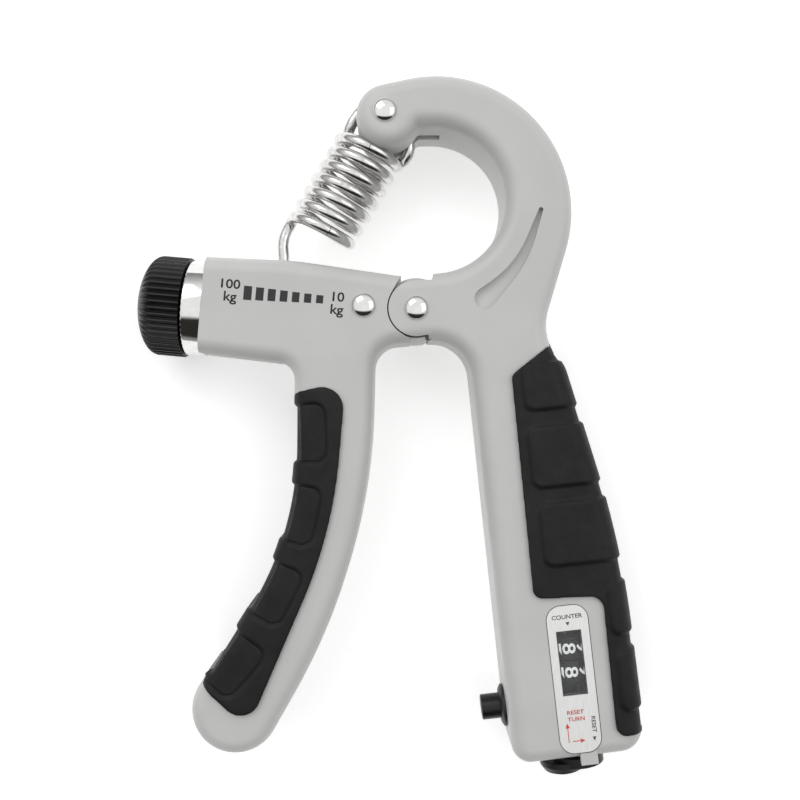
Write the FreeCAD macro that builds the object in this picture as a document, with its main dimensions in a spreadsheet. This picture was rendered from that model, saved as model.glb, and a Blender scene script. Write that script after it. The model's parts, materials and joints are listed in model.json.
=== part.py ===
"""Adjustable spring hand-grip dynamometer with a repetition counter.

The object lies flat.  +X runs from the tension knob towards the counter handle, +Y from the grips
towards the spring arch, and +Z is up through the thickness.  The origin is on the pivot axis, on the
plane that the flat back heads of the rivets rest on.
"""
import FreeCAD, Part
import math
import os

import Sketcher

doc = FreeCAD.newDocument("HandDynamometer")
sheet = doc.addObject("Spreadsheet::Sheet", "Sizes")

CONVEX = 1
CONCAVE = -1
CORNER = "1.0"

# ---------------------------------------------------------------- driving dimensions, millimetres

SIZES = {
    "Thickness": {
        "mid_height": 12.0,
        "case_half": 10.8,
        "grip_half": 12.0,
        "case_rounding": 3.4,
        "grip_rounding": 4.0,
        "wall": 2.2,
        "face_wall": 2.0,
        "seat_depth": 2.2,
        "seam_gap": 0.3,
        "fit_gap": 0.05,
        "inner_gap": 0.3,
    },
    "Pivot knuckle": {
        "knuckle_radius": 6.2,
        "hub_radius": 7.3,
        "tongue_half": 5.4,
        "lip_half": 8.6,
        "lip_turn": -73.0,
        "squeeze_turn": 26.0,
        "rivet_shaft_radius": 1.9,
        "rivet_head_radius": 2.65,
        "rivet_head_height": 1.2,
        "bush_wall": 1.0,
        "lever_rivet_x": -11.7,
        "lever_rivet_y": 0.6,
    },
    "Spring arch": {
        "arch_x": 4.4,
        "arch_y": 21.8,
        "arch_radius": 30.5,
        "hole_x": 3.7,
        "hole_y": 24.4,
        "hole_radius": 16.4,
        "arch_tip_radius": 7.1,
        "anchor_x": -7.0,
        "anchor_y": 43.9,
        "anchor_pin_radius": 1.5,
        "sleeve_wall": 0.55,
        "relief_depth": 1.6,
    },
    "Counter handle": {
        "neck_x": 41.2,
        "neck_y": -3.6,
        "neck_radius": 12.0,
        "shoulder_x": 29.2,
        "shoulder_y": -15.2,
        "shoulder_radius": 4.2,
        "side_x": -150.7,
        "side_y": -95.8,
        "side_radius": 200.0,
        "base_right_x": 45.3,
        "base_right_y": -93.9,
        "base_right_radius": 5.3,
        "base_left_x": 25.6,
        "base_left_y": -97.4,
        "base_left_radius": 4.2,
        "crotch_x": 3.8,
        "crotch_y": -15.9,
        "crotch_radius": 8.8,
    },
    "Lever handle": {
        "lever_crotch_x": -4.0,
        "lever_crotch_y": -13.3,
        "lever_crotch_radius": 5.5,
        "lever_inner_x": -143.4,
        "lever_inner_y": -20.0,
        "lever_inner_radius": 133.7,
        "lever_tip_x": -40.5,
        "lever_tip_y": -89.7,
        "lever_tip_radius": 9.8,
        "lever_outer_x": -97.4,
        "lever_outer_y": -30.0,
        "lever_outer_radius": 70.0,
        "armpit_x": -31.4,
        "armpit_y": -16.0,
        "armpit_radius": 4.1,
        "barrel_top_x": -31.1,
        "barrel_top_y": -29.0,
        "barrel_top_radius": 40.0,
        "dip_x": -2.5,
        "dip_y": 19.4,
        "dip_radius": 12.0,
    },
    "Tension barrel": {
        "barrel_foot_y": -3.6,
        "barrel_turn": 175.0,
        "barrel_end": 48.0,
        "bore_start": 17.0,
        "bore_radius": 8.8,
        "collar_radius": 10.95,
        "collar_length": 4.6,
        "collar_spigot": 3.0,
        "knob_radius": 11.5,
        "knob_length": 6.1,
        "knob_dome": 5.0,
        "knob_ribs": 48,
        "rib_radius": 0.45,
        "rib_offset": 0.15,
        "screw_radius": 2.5,
        "nut_place": 30.3,
        "nut_length": 9.0,
        "nut_in": 6.5,
        "nut_out": 8.5,
        "hook_pin_radius": 1.2,
        "hook_pin_rise": 7.0,
        "bearing_length": 3.0,
        "bearing_radius": 4.0,
    },
    "Spring": {
        "wire_radius": 1.35,
        "coil_radius": 7.15,
        "coil_pitch": 3.5,
        "coil_start": 9.0,
        "coil_turns": 6,
    },
    "Counter": {
        "window_x": 34.45,
        "window_y": -78.6,
        "counter_turn": 6.5,
        "shaft_rise": 3.4,
        "shaft_radius": 1.0,
        "drum_radius": 5.2,
        "drum_width": 4.9,
        "drum_gap": 0.4,
        "ratchet_radius": 3.6,
        "ratchet_place": 11.1,
        "plate_width": 9.4,
        "plate_length": 33.0,
        "plate_corner": 3.3,
        "plate_shift": 3.6,
        "plate_thickness": 0.5,
        "window_width": 5.6,
        "window_length": 14.4,
        "lens_thickness": 0.8,
        "base_face": 21.9,
        "key_radius": 5.75,
        "key_lobe_radius": 5.1,
        "key_lobe_reach": 3.6,
        "key_height": 2.1,
        "key_lobe_height": 2.4,
        "tab_reach": 1.0,
    },
    "Plunger": {
        "plunger_radius": 2.85,
        "plunger_reach": 5.6,
        "plunger_stroke": 2.6,
        "bezel_radius": 4.75,
        "bezel_height": 1.2,
        "stem_radius": 1.8,
    },
    "Fasteners": {
        "screw_head_radius": 2.4,
        "screw_shank_radius": 1.25,
        "screw_length": 14.0,
    },
}

ALIASES = {alias for cells in SIZES.values() for alias in cells}


def fill_sheet():
    row = 1
    for group, cells in SIZES.items():
        sheet.set("A%d" % row, group)
        row += 1
        for alias, value in cells.items():
            sheet.set("A%d" % row, alias.replace("_", " "))
            sheet.set("B%d" % row, str(value))
            sheet.setAlias("B%d" % row, alias)
            row += 1


fill_sheet()
doc.recompute()


# ---------------------------------------------------------------- helpers


def cell(expression):
    """Value of an expression over the sheet's aliases."""
    return float(sheet.evalExpression(str(expression)))


def linked(expression):
    """The same expression, written so that another object can use it."""
    words = []
    word = ""
    for letter in str(expression) + " ":
        if letter.isalnum() or letter == "_":
            word += letter
            continue
        words.append("Sizes." + word if word in ALIASES else word)
        words.append(letter)
        word = ""
    return "".join(words).strip()


def spot(x, y, z="0", turn="0", role="flat"):
    """Placement at (x, y, z), turned about +Z.

    flat keeps the local axes.  upright lays local +X along world +Z, for pieces turned on a lathe.
    """
    place = FreeCAD.Placement(
        FreeCAD.Vector(cell(x), cell(y), cell(z)),
        FreeCAD.Rotation(FreeCAD.Vector(0, 0, 1), cell(turn)),
    )
    if role == "upright":
        tip_up = FreeCAD.Rotation(FreeCAD.Vector(0, 1, 0), -90)
        return place.multiply(FreeCAD.Placement(FreeCAD.Vector(0, 0, 0), tip_up))
    return place


def barrel_place():
    return spot("0", "barrel_foot_y", "mid_height", "barrel_turn")


def shaft_place():
    return spot("window_x", "window_y", "mid_height + shaft_rise", "counter_turn - 90")


def plunger_place():
    """On the counter handle's inner side, level with the ratchet, with local +X out towards the lever."""
    top, foot = tangent_points(
        (cell("crotch_x"), cell("crotch_y"), cell("crotch_radius"), CONCAVE),
        (cell("base_left_x"), cell("base_left_y"), cell("base_left_radius"), CONVEX))
    axis = shaft_place().multVec(FreeCAD.Vector(cell("ratchet_place"), 0, 0))
    turn = math.radians(cell("counter_turn"))
    inward = FreeCAD.Vector(math.cos(turn), math.sin(turn), 0)
    side = FreeCAD.Vector(foot[0] - top[0], foot[1] - top[1], 0)
    across = FreeCAD.Vector(-side.y, side.x, 0)
    depth = (axis - FreeCAD.Vector(top[0], top[1], 0)).dot(across) / inward.dot(across)
    return spot(axis.x - depth * inward.x, axis.y - depth * inward.y, "mid_height", "180 + counter_turn")


def face_place():
    """On the front face at the window's centre, with local +Y along the plate towards the arch."""
    return spot("window_x", "window_y", "mid_height + case_half", "counter_turn")


def tangent_points(first, second):
    """Where the common tangent of two turns leaves the first circle and meets the second."""
    (x1, y1, r1, turn1), (x2, y2, r2, turn2) = first, second
    gap = math.hypot(x2 - x1, y2 - y1)
    offset = turn1 * r1 - turn2 * r2
    if gap <= abs(offset):
        raise ValueError("no common tangent between %s and %s" % (first, second))
    angle = math.atan2(y2 - y1, x2 - x1) - math.acos(offset / gap)
    normal = (math.cos(angle), math.sin(angle))
    start = (x1 + turn1 * r1 * normal[0], y1 + turn1 * r1 * normal[1])
    end = (x2 + turn2 * r2 * normal[0], y2 + turn2 * r2 * normal[1])
    return start, end


def new_body(name):
    return doc.addObject("PartDesign::Body", name)


def new_sketch(body, name, height="0", role="XY_Plane"):
    plane = [item for item in body.Origin.OriginFeatures if item.Role == role][0]
    sketch = body.newObject("Sketcher::SketchObject", name)
    sketch.AttachmentSupport = [(plane, "")]
    sketch.MapMode = "FlatFace"
    sketch.setExpression("AttachmentOffset.Base.z", linked(height))
    return sketch


def bind(sketch, constraint, expression):
    index = sketch.addConstraint(constraint)
    sketch.setExpression("Constraints[%d]" % index, linked(expression))


def belt(sketch, turns):
    """Closed outline that runs counter-clockwise round a list of (x, y, radius, sense) turns.

    Each turn is an arc, and its neighbours are joined to it by common tangent lines.
    """
    circles = [(cell(x), cell(y), cell(r), sense) for x, y, r, sense in turns]
    count = len(circles)
    leave = []
    arrive = [None] * count
    for index in range(count):
        start, end = tangent_points(circles[index], circles[(index + 1) % count])
        leave.append(start)
        arrive[(index + 1) % count] = end
    ends = []
    for index, (x, y, radius, sense) in enumerate(circles):
        first, last = (arrive, leave) if sense == CONVEX else (leave, arrive)
        angles = [math.atan2(side[index][1] - y, side[index][0] - x) for side in (first, last)]
        circle = Part.Circle(FreeCAD.Vector(x, y, 0), FreeCAD.Vector(0, 0, 1), radius)
        arc = sketch.addGeometry(Part.ArcOfCircle(circle, angles[0], angles[1]), False)
        ends.append((arc, 1, 2) if sense == CONVEX else (arc, 2, 1))
    for index in range(count):
        after = (index + 1) % count
        start = FreeCAD.Vector(leave[index][0], leave[index][1], 0)
        end = FreeCAD.Vector(arrive[after][0], arrive[after][1], 0)
        line = sketch.addGeometry(Part.LineSegment(start, end), False)
        here, there = ends[index], ends[after]
        sketch.addConstraint(Sketcher.Constraint("Tangent", here[0], here[2], line, 1))
        sketch.addConstraint(Sketcher.Constraint("Tangent", there[0], there[1], line, 2))
    for index, (x, y, radius, sense) in enumerate(turns):
        arc = ends[index][0]
        bind(sketch, Sketcher.Constraint("Radius", arc, circles[index][2]), radius)
        bind(sketch, Sketcher.Constraint("DistanceX", -1, 1, arc, 3, circles[index][0]), x)
        bind(sketch, Sketcher.Constraint("DistanceY", -1, 1, arc, 3, circles[index][1]), y)


def polygon(sketch, corners):
    """Closed straight-sided outline through a list of (x, y) corners."""
    points = [(cell(x), cell(y)) for x, y in corners]
    count = len(points)
    for index in range(count):
        start = FreeCAD.Vector(points[index][0], points[index][1], 0)
        after = points[(index + 1) % count]
        sketch.addGeometry(Part.LineSegment(start, FreeCAD.Vector(after[0], after[1], 0)), False)
    for index in range(count):
        sketch.addConstraint(Sketcher.Constraint("Coincident", index, 2, (index + 1) % count, 1))
    for index, (x, y) in enumerate(corners):
        bind(sketch, Sketcher.Constraint("DistanceX", -1, 1, index, 1, points[index][0]), x)
        bind(sketch, Sketcher.Constraint("DistanceY", -1, 1, index, 1, points[index][1]), y)


def pad(body, sketch, length):
    feature = body.newObject("PartDesign::Pad", body.Name + "_pad")
    feature.Profile = sketch
    feature.setExpression("Length", linked(length))
    body.Tip = feature
    return feature


def round_rims(body, base, radius):
    """Fillet every edge that lies in the top and bottom faces of a padded plate."""
    doc.recompute()
    box = base.Shape.BoundBox
    names = []
    for index, edge in enumerate(base.Shape.Edges):
        low, high = edge.BoundBox.ZMin, edge.BoundBox.ZMax
        if high - low < 1e-3 and (abs(low - box.ZMin) < 1e-3 or abs(high - box.ZMax) < 1e-3):
            names.append("Edge%d" % (index + 1))
    fillet = body.newObject("PartDesign::Fillet", body.Name + "_fillet")
    fillet.Base = (base, names)
    fillet.setExpression("Radius", linked(radius))
    body.Tip = fillet
    return fillet


def plate(name, turns, low, length, rounding=None):
    """A plate whose outline is a belt of turns, from height low up."""
    body = new_body(name)
    sketch = new_sketch(body, name + "_outline", low)
    belt(sketch, turns)
    base = pad(body, sketch, length)
    if rounding:
        round_rims(body, base, rounding)
    return body


def turned(name, profile, place):
    """A piece turned on a lathe: (along, radius) corners, spun about the local X axis."""
    body = new_body(name)
    sketch = new_sketch(body, name + "_profile")
    polygon(sketch, profile)
    spin = body.newObject("PartDesign::Revolution", name + "_spin")
    spin.Profile = sketch
    spin.ReferenceAxis = (sketch, ["H_Axis"])
    spin.Angle = 360
    body.Tip = spin
    body.Placement = place
    return body


def rod(start, end, radius):
    return [(start, "0"), (end, "0"), (end, radius), (start, radius)]


def tube(start, end, inner, outer):
    return [(start, inner), (end, inner), (end, outer), (start, outer)]


def block(name, lows, sizes, place=None):
    """A box from its local low corner, by expressions."""
    item = doc.addObject("Part::Box", name)
    for side, size in zip(("Length", "Width", "Height"), sizes):
        item.setExpression(side, linked(size))
    corner = FreeCAD.Placement(FreeCAD.Vector(*[cell(value) for value in lows]), FreeCAD.Rotation())
    item.Placement = place.multiply(corner) if place else corner
    return item


def fuse(name, items):
    result = doc.addObject("Part::MultiFuse", name)
    result.Shapes = items
    return result


def cut(name, base, tools):
    result = doc.addObject("Part::Cut", name)
    result.Base = base
    result.Tool = tools[0] if len(tools) == 1 else fuse(name + "_tools", tools)
    return result


def common(name, base, tool):
    result = doc.addObject("Part::Common", name)
    result.Base = base
    result.Tool = tool
    return result


SUBPARTS = []


def keep(item, node):
    """Name a finished piece; its label becomes its file's name."""
    item.Label = node
    SUBPARTS.append(item)
    return item


# ---------------------------------------------------------------- outlines

TIP_REACH = "(arch_radius - arch_tip_radius)"
ARCH_TIP_X = "arch_x - 0.4615 * " + TIP_REACH
ARCH_TIP_Y = "arch_y + 0.923 * " + TIP_REACH
BARREL_BEYOND = "(barrel_end + 6.5)"


def case_turns():
    """Outline of both handles and the arch together, with the barrel run past its end."""
    return [
        ("base_left_x", "base_left_y", "base_left_radius", CONVEX),
        ("base_right_x", "base_right_y", "base_right_radius", CONVEX),
        ("side_x", "side_y", "side_radius", CONVEX),
        ("shoulder_x", "shoulder_y", "shoulder_radius", CONVEX),
        ("neck_x", "neck_y", "neck_radius", CONCAVE),
        ("arch_x", "arch_y", "arch_radius", CONVEX),
        (ARCH_TIP_X, ARCH_TIP_Y, "arch_tip_radius", CONVEX),
        ("hole_x - 0.1585 * hole_radius", "hole_y + 0.924 * hole_radius", "1.2", CONCAVE),
        ("hole_x", "hole_y", "hole_radius", CONCAVE),
        ("dip_x", "dip_y", "dip_radius", CONCAVE),
        ("barrel_top_x", "barrel_top_y", "barrel_top_radius", CONVEX),
        ("-0.996 * " + BARREL_BEYOND, "6.6", "5.5", CONVEX),
        ("-0.996 * " + BARREL_BEYOND, "-3.6", "5.5", CONVEX),
        ("armpit_x", "armpit_y", "armpit_radius", CONCAVE),
        ("lever_outer_x", "lever_outer_y", "lever_outer_radius", CONCAVE),
        ("lever_tip_x", "lever_tip_y", "lever_tip_radius", CONVEX),
        ("lever_inner_x", "lever_inner_y", "lever_inner_radius", CONVEX),
        ("lever_crotch_x", "lever_crotch_y", "lever_crotch_radius", CONCAVE),
        ("crotch_x", "crotch_y", "crotch_radius", CONCAVE),
    ]


def right_side_turns():
    """Everything on the counter handle's side of the seam."""
    return [
        ("0", "0", "knuckle_radius", CONVEX),
        ("2.4", "-knuckle_radius", "0.4", CONCAVE),
        ("3.8", "-120", CORNER, CONVEX),
        ("80", "-120", CORNER, CONVEX),
        ("80", "80", CORNER, CONVEX),
        ("-35", "80", CORNER, CONVEX),
        ("-35", "22", CORNER, CONVEX),
        ("4.4", "8.7", "0.5", CONVEX),
        ("3.4", "knuckle_radius + 0.5", "0.4", CONCAVE),
    ]


def left_side_turns():
    """Everything on the lever's side of the seam, clear of the knuckle cheeks."""
    return [
        ("0", "0", "knuckle_radius + seam_gap", CONCAVE),
        ("-1.0", "14", CORNER, CONVEX),
        ("-90", "30", CORNER, CONVEX),
        ("-90", "-125", CORNER, CONVEX),
        ("-5", "-125", CORNER, CONVEX),
        ("-1.7", "-knuckle_radius - 1", "0.5", CONVEX),
    ]


def right_seat_turns():
    """Band on the outer side of the counter handle that its grip fills."""
    return [
        ("30.6", "-11.6", CORNER, CONVEX),
        ("side_x", "side_y", "side_radius - seat_depth", CONCAVE),
        ("base_right_x + 3.8", "base_right_y + 2.4", CORNER, CONVEX),
        ("70", "base_right_y + 2.4", CORNER, CONVEX),
        ("70", "20", CORNER, CONVEX),
    ]


def right_grip_turns():
    """Front view of the counter handle's grip: a broad pad, then a narrow strip beside the plate."""
    return [
        ("22.9", "-15.7", "2.0", CONVEX),
        ("27.7", "-62.2", "2.2", CONVEX),
        ("38.6", "-66.6", "2.6", CONCAVE),
        ("base_right_x + 1.3", "base_right_y + 1.9", "2.8", CONVEX),
        ("70", "base_right_y + 1.9", CORNER, CONVEX),
        ("70", "23", CORNER, CONVEX),
    ]


def left_seat_turns():
    """Band on the outer side of the lever that its grip fills."""
    return [
        ("lever_outer_x", "lever_outer_y", "lever_outer_radius + seat_depth", CONVEX),
        ("-26.6", "-20.2", CORNER, CONVEX),
        ("-90", "-34", CORNER, CONVEX),
        ("-90", "-38", CORNER, CONVEX),
        ("lever_tip_x - 5.1", "lever_tip_y + 9.1", CORNER, CONVEX),
    ]


def left_grip_turns():
    """Front view of the lever's grip."""
    return [
        ("lever_tip_x + 1.7", "lever_tip_y + 4.0", "4.4", CONVEX),
        ("lever_inner_x + 23.4", "lever_inner_y - 4", "lever_inner_radius - 30.3", CONVEX),
        ("-20.9", "-22.3", "4.8", CONVEX),
        ("-90", "-33", CORNER, CONVEX),
        ("-90", "-44", CORNER, CONVEX),
    ]


def inset(turns, depth):
    """The same turns moved inward by a wall."""
    moved = []
    for x, y, radius, sense in turns:
        sign = "-" if sense == CONVEX else "+"
        moved.append((x, y, "%s %s (%s)" % (radius, sign, depth), sense))
    return moved


def handle_hollow_turns():
    """Cavity of the counter handle, from below the neck to the base."""
    base = inset(case_turns()[:2], "wall")
    side = inset(case_turns()[2:3], "wall + seat_depth")
    bay_top = [("30.1", "-23.5", "1.5", CONVEX), ("17.8", "-23.5", "1.5", CONVEX)]
    shifted = ("base_right_x - 1.2", "base_right_y", "base_right_radius - wall", CONVEX)
    return [base[0], shifted] + side + bay_top


def arch_hollow_turns():
    return [
        ("26.4", "0.5", "1.5", CONVEX),
        ("arch_x", "arch_y", "arch_radius - wall", CONVEX),
        ("4.6", "48.8", "1.5", CONVEX),
        ("hole_x", "hole_y", "hole_radius + wall", CONCAVE),
        ("21.4", "5.0", "1.5", CONVEX),
    ]


def lever_hollow_turns():
    return [
        ("-32.2", "-85.2", "3.0", CONVEX),
        ("lever_inner_x", "lever_inner_y", "lever_inner_radius - wall", CONVEX),
        ("-13.2", "-22.0", "1.5", CONVEX),
        ("-21.4", "-22.0", "1.5", CONVEX),
        ("lever_outer_x", "lever_outer_y", "lever_outer_radius + wall + seat_depth", CONCAVE),
    ]


# ---------------------------------------------------------------- case shells

HOLLOW_LOW = "mid_height - case_half + face_wall"
HOLLOW_TALL = "2 * (case_half - face_wall)"
CASE_LOW = "mid_height - case_half"
CASE_TALL = "2 * case_half"
GRIP_LOW = "mid_height - grip_half"
GRIP_TALL = "2 * grip_half"

case_blank = plate("CaseBlank", case_turns(), CASE_LOW, CASE_TALL, "case_rounding")
grip_blank = plate("GripBlank", case_turns(), GRIP_LOW, GRIP_TALL, "grip_rounding")
right_seat = plate("RightSeat", right_seat_turns(), "-1", "2 * mid_height + 2")
left_seat = plate("LeftSeat", left_seat_turns(), "-1", "2 * mid_height + 2")


def upright(name, x, y, profile):
    """A lathe piece on a vertical axis, measured up from the resting plane."""
    return turned(name, profile, spot(x, y, role="upright"))


def centred(half):
    return "mid_height - (%s)" % half, "mid_height + (%s)" % half


def slot_tools():
    """Room in the arch's tip for the spring's upper loop and its swing."""
    low, high = centred("wire_radius + 0.5")
    reach = "coil_radius + wire_radius + 1.1"
    ring = upright("LoopRoom", "anchor_x - 1.8", "anchor_y - 2.9", rod(low, high, reach))
    tall = "2 * wire_radius + 1"
    mouth = block("LoopMouth", ("-4.5", "35", low), ("10", "6.6", tall))
    return [ring, mouth]


def lip_ring(name, half, inner, outer, turn):
    """Ring round the pivot, kept only where it is up to 90 degrees clockwise of a turn."""
    low, high = centred(half)
    ring = upright(name + "Ring", "0", "0", tube(low, high, inner, outer))
    size = ("20", "20", "2 * mid_height")
    quarter = block(name + "Quarter", ("0", "-20", "0"), size, spot("0", "0", "0", turn))
    return common(name, ring, quarter)


def right_tools():
    low, high = centred("tongue_half + inner_gap")
    return [
        lip_ring("LipRoom", "lip_half + inner_gap", "knuckle_radius", "hub_radius + inner_gap",
                 "lip_turn + squeeze_turn + 3"),
        plate("HandleHollow", handle_hollow_turns(), HOLLOW_LOW, HOLLOW_TALL),
        plate("ArchHollow", arch_hollow_turns(), HOLLOW_LOW, HOLLOW_TALL),
        upright("TongueRoom", "0", "0", rod(low, high, "hub_radius + inner_gap")),
        upright("PivotBore", "0", "0", rod("-1", "2 * mid_height + 1", "rivet_shaft_radius + fit_gap")),
        upright("AnchorBore", "anchor_x", "anchor_y",
                rod("-1", "2 * mid_height + 1", "anchor_pin_radius + fit_gap")),
        turned("PlungerBore", rod("-8", "2", "plunger_radius + 0.15"), plunger_place()),
        turned("KeyShaftBore", rod("base_face - wall - 3", "base_face + 3", "shaft_radius + fit_gap"),
               shaft_place()),
        right_seat,
    ] + slot_tools()


RELIEF_TURNS = [
    ("15.2", "2.1", "2.35", CONVEX),
    ("-2.0", "24.0", "29.6", CONVEX),
    ("27.6", "21.8", "0.5", CONVEX),
    ("hole_x", "hole_y", "hole_radius + 6.1", CONCAVE),
]


def counter_openings():
    """Recess for the label plate, pocket for the lens, and the hole over the drums."""
    place = face_place()
    plate_turns_list = counter_plate_turns("0")
    recess = plate("PlateRecess", plate_turns_list, "-plate_thickness", "5")
    lens_low = "-plate_thickness - lens_thickness"
    pocket = block("LensPocket", ("-window_width / 2 - 0.5", "-window_length / 2 - 0.5", lens_low),
                   ("window_width + 1", "window_length + 1", "3"), place)
    hole = block("DrumWindow", ("-window_width / 2", "-window_length / 2", "-face_wall - 1"),
                 ("window_width", "window_length", "5"), place)
    recess.Placement = place
    return [recess, pocket, hole]


def counter_plate_turns(inset_by):
    half_x = "(plate_width / 2 - plate_corner)"
    half_y = "(plate_length / 2 - plate_corner)"
    radius = "plate_corner - " + inset_by
    corners = []
    for sx, sy in ((-1, -1), (1, -1), (1, 1), (-1, 1)):
        corners.append(("%d * %s" % (sx, half_x), "%d * %s - plate_shift" % (sy, half_y), radius, CONVEX))
    return corners


def drive_holes():
    """Where the case screws go in from the back, as (x, y)."""
    return [("22.0", "-31.0"), ("31.5", "-61.5"), ("28.3", "-97.4"), ("29.6", "15.0")]


def screw_tools(name):
    tools = []
    for index, (x, y) in enumerate(drive_holes()):
        shank = rod(CASE_LOW, CASE_LOW + " + screw_length + 0.5", "screw_shank_radius + fit_gap")
        head = rod("-1", CASE_LOW + " + 1.6", "screw_head_radius + 0.1")
        tools.append(upright("%sShank%d" % (name, index), x, y, shank))
        tools.append(upright("%sHead%d" % (name, index), x, y, head))
    return tools


SHARED_RIGHT = fuse("RightTools", right_tools())
SCREW_ROOM = fuse("ScrewRoom", screw_tools("Room"))


def boss_posts():
    """Screw posts and the ring boss round the anchor, standing inside the counter handle."""
    posts = []
    for index, (x, y) in enumerate(drive_holes()):
        posts.append(upright("Post%d" % index, x, y, rod(HOLLOW_LOW, HOLLOW_LOW + " + " + HOLLOW_TALL,
                                                         "screw_shank_radius + 1.4")))
    return posts


POSTS = fuse("ScrewPosts", boss_posts())


def right_shell(node, low):
    """One half of the counter handle and arch."""
    name = "".join(word.title() for word in node.split("_"))
    side = plate(name + "Side", right_side_turns(), low, "grip_half")
    half = common(name + "Half", case_blank, side)
    shell = cut(name + "Hollowed", half, [SHARED_RIGHT])
    posts = common(name + "Posts", POSTS, side)
    joined = fuse(name + "Posted", [shell, posts])
    return joined


def make_right_shells():
    front = right_shell("right_front_shell", "mid_height")
    relief = plate("ArchRelief", RELIEF_TURNS, "mid_height + case_half - relief_depth", "5")
    tab = block("KeyTab", ("-0.4", "-base_face - tab_reach", "-1.3"), ("3.8", "5", "1.2"), face_place())
    tabbed = fuse("RightFrontTabbed", [front, tab])
    tools = [relief, SCREW_ROOM] + counter_openings()
    keep(cut("RightFrontShell", tabbed, tools), "right_front_shell")
    back = right_shell("right_back_shell", "mid_height - grip_half")
    keep(cut("RightBackShell", back, [SCREW_ROOM]), "right_back_shell")


def barrel_tools():
    place = barrel_place()
    slot_low = "nut_place - nut_in - 4.6"
    slot_tall = "nut_in + nut_out + 9.2"
    return [
        turned("BarrelBore", rod("bore_start", "barrel_end + 20", "bore_radius"), place),
        turned("BearingPocket", rod("bore_start - bearing_length", "bore_start + 1",
                                    "bearing_radius + fit_gap"), place),
        turned("CollarSeat", rod("barrel_end - collar_spigot", "barrel_end + 1", "collar_radius - 1.3"),
               place),
        block("BarrelEndCut", ("barrel_end", "-20", "-20"), ("30", "40", "40"), place),
        block("HookSlot", (slot_low, "-20", "-wire_radius - 0.5"),
              (slot_tall, "20", "2 * wire_radius + 1"), place),
        plate("LeverHollow", lever_hollow_turns(), HOLLOW_LOW, HOLLOW_TALL),
        upright("BushBore", "0", "0",
                rod("-1", "2 * mid_height + 1", "rivet_shaft_radius + bush_wall + 2 * fit_gap")),
        upright("LeverRivetBore", "lever_rivet_x", "lever_rivet_y",
                rod("-1", "2 * mid_height + 1", "rivet_shaft_radius + fit_gap")),
        left_seat,
    ]


SHARED_LEFT = fuse("LeftTools", barrel_tools())
HUB = upright("Hub", "0", "0", rod("mid_height - tongue_half", "mid_height + tongue_half", "hub_radius"))


def make_left_shells():
    for node, low in (("left_front_shell", "mid_height"), ("left_back_shell", "mid_height - grip_half")):
        name = "".join(word.title() for word in node.split("_"))
        side = plate(name + "Side", left_side_turns(), low, "grip_half")
        half_box = block(name + "Box", ("-12", "-12", low), ("24", "24", "grip_half"))
        hub_half = common(name + "Hub", HUB, half_box)
        lip = lip_ring(name + "Lip", "lip_half", "knuckle_radius + seam_gap", "hub_radius", "lip_turn")
        lip_half = common(name + "LipHalf", lip, half_box)
        solid = fuse(name + "Solid", [side, hub_half, lip_half])
        blank = common(name + "Blank", case_blank, solid)
        keep(cut(name, blank, [SHARED_LEFT]), node)


def make_grips():
    right_core = cut("RightCore", case_blank, [right_seat])
    right_view = plate("RightGripView", right_grip_turns(), GRIP_LOW, GRIP_TALL)
    right_half = common("RightGripHalf", grip_blank, right_view)
    keep(cut("RightGrip", right_half, [right_core]), "right_grip")
    left_core = cut("LeftCore", case_blank, [left_seat])
    left_view = plate("LeftGripView", left_grip_turns(), GRIP_LOW, GRIP_TALL)
    left_half = common("LeftGripHalf", grip_blank, left_view)
    keep(cut("LeftGrip", left_half, [left_core]), "left_grip")


make_right_shells()
make_left_shells()
make_grips()


# ---------------------------------------------------------------- rivets and pivot


def rivet(node, x, y, shaft):
    """Round shaft, domed front head and flat back head."""
    front = "mid_height + case_half"
    profile = [
        ("0", "0"),
        (front + " + rivet_head_height", "0"),
        (front + " + rivet_head_height * 0.9", "rivet_head_radius * 0.45"),
        (front + " + rivet_head_height * 0.55", "rivet_head_radius * 0.82"),
        (front, "rivet_head_radius"),
        (front, shaft),
        (CASE_LOW, shaft),
        (CASE_LOW, "rivet_head_radius"),
        ("0.25", "rivet_head_radius"),
        ("0", "rivet_head_radius - 0.25"),
    ]
    name = "".join(word.title() for word in node.split("_"))
    keep(upright(name, x, y, profile), node)


def make_pins():
    rivet("pivot_rivet", "0", "0", "rivet_shaft_radius")
    rivet("lever_rivet", "lever_rivet_x", "lever_rivet_y", "rivet_shaft_radius")
    rivet("anchor_rivet", "anchor_x", "anchor_y", "anchor_pin_radius")
    low, high = centred("tongue_half")
    bush = tube(low, high, "rivet_shaft_radius + fit_gap", "rivet_shaft_radius + bush_wall")
    keep(upright("PivotBush", "0", "0", bush), "pivot_bush")
    low, high = centred("wire_radius + 0.4")
    sleeve = tube(low, high, "anchor_pin_radius + fit_gap", "anchor_pin_radius + sleeve_wall")
    keep(upright("AnchorSleeve", "anchor_x", "anchor_y", sleeve), "anchor_sleeve")


make_pins()


# ---------------------------------------------------------------- tension barrel


def make_collar():
    """Bright ring in the barrel's mouth, with a spigot held in a counterbore."""
    end = "barrel_end + collar_length"
    profile = [
        ("barrel_end - collar_spigot", "bore_radius"),
        (end, "bore_radius"),
        (end, "collar_radius - 0.3"),
        (end + " - 0.3", "collar_radius"),
        ("barrel_end", "collar_radius"),
        ("barrel_end", "collar_radius - 1.3"),
        ("barrel_end - collar_spigot", "collar_radius - 1.3"),
    ]
    keep(turned("CollarRing", profile, barrel_place()), "collar_ring")


def knob_start():
    return "(barrel_end + collar_length + 0.3)"


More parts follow.
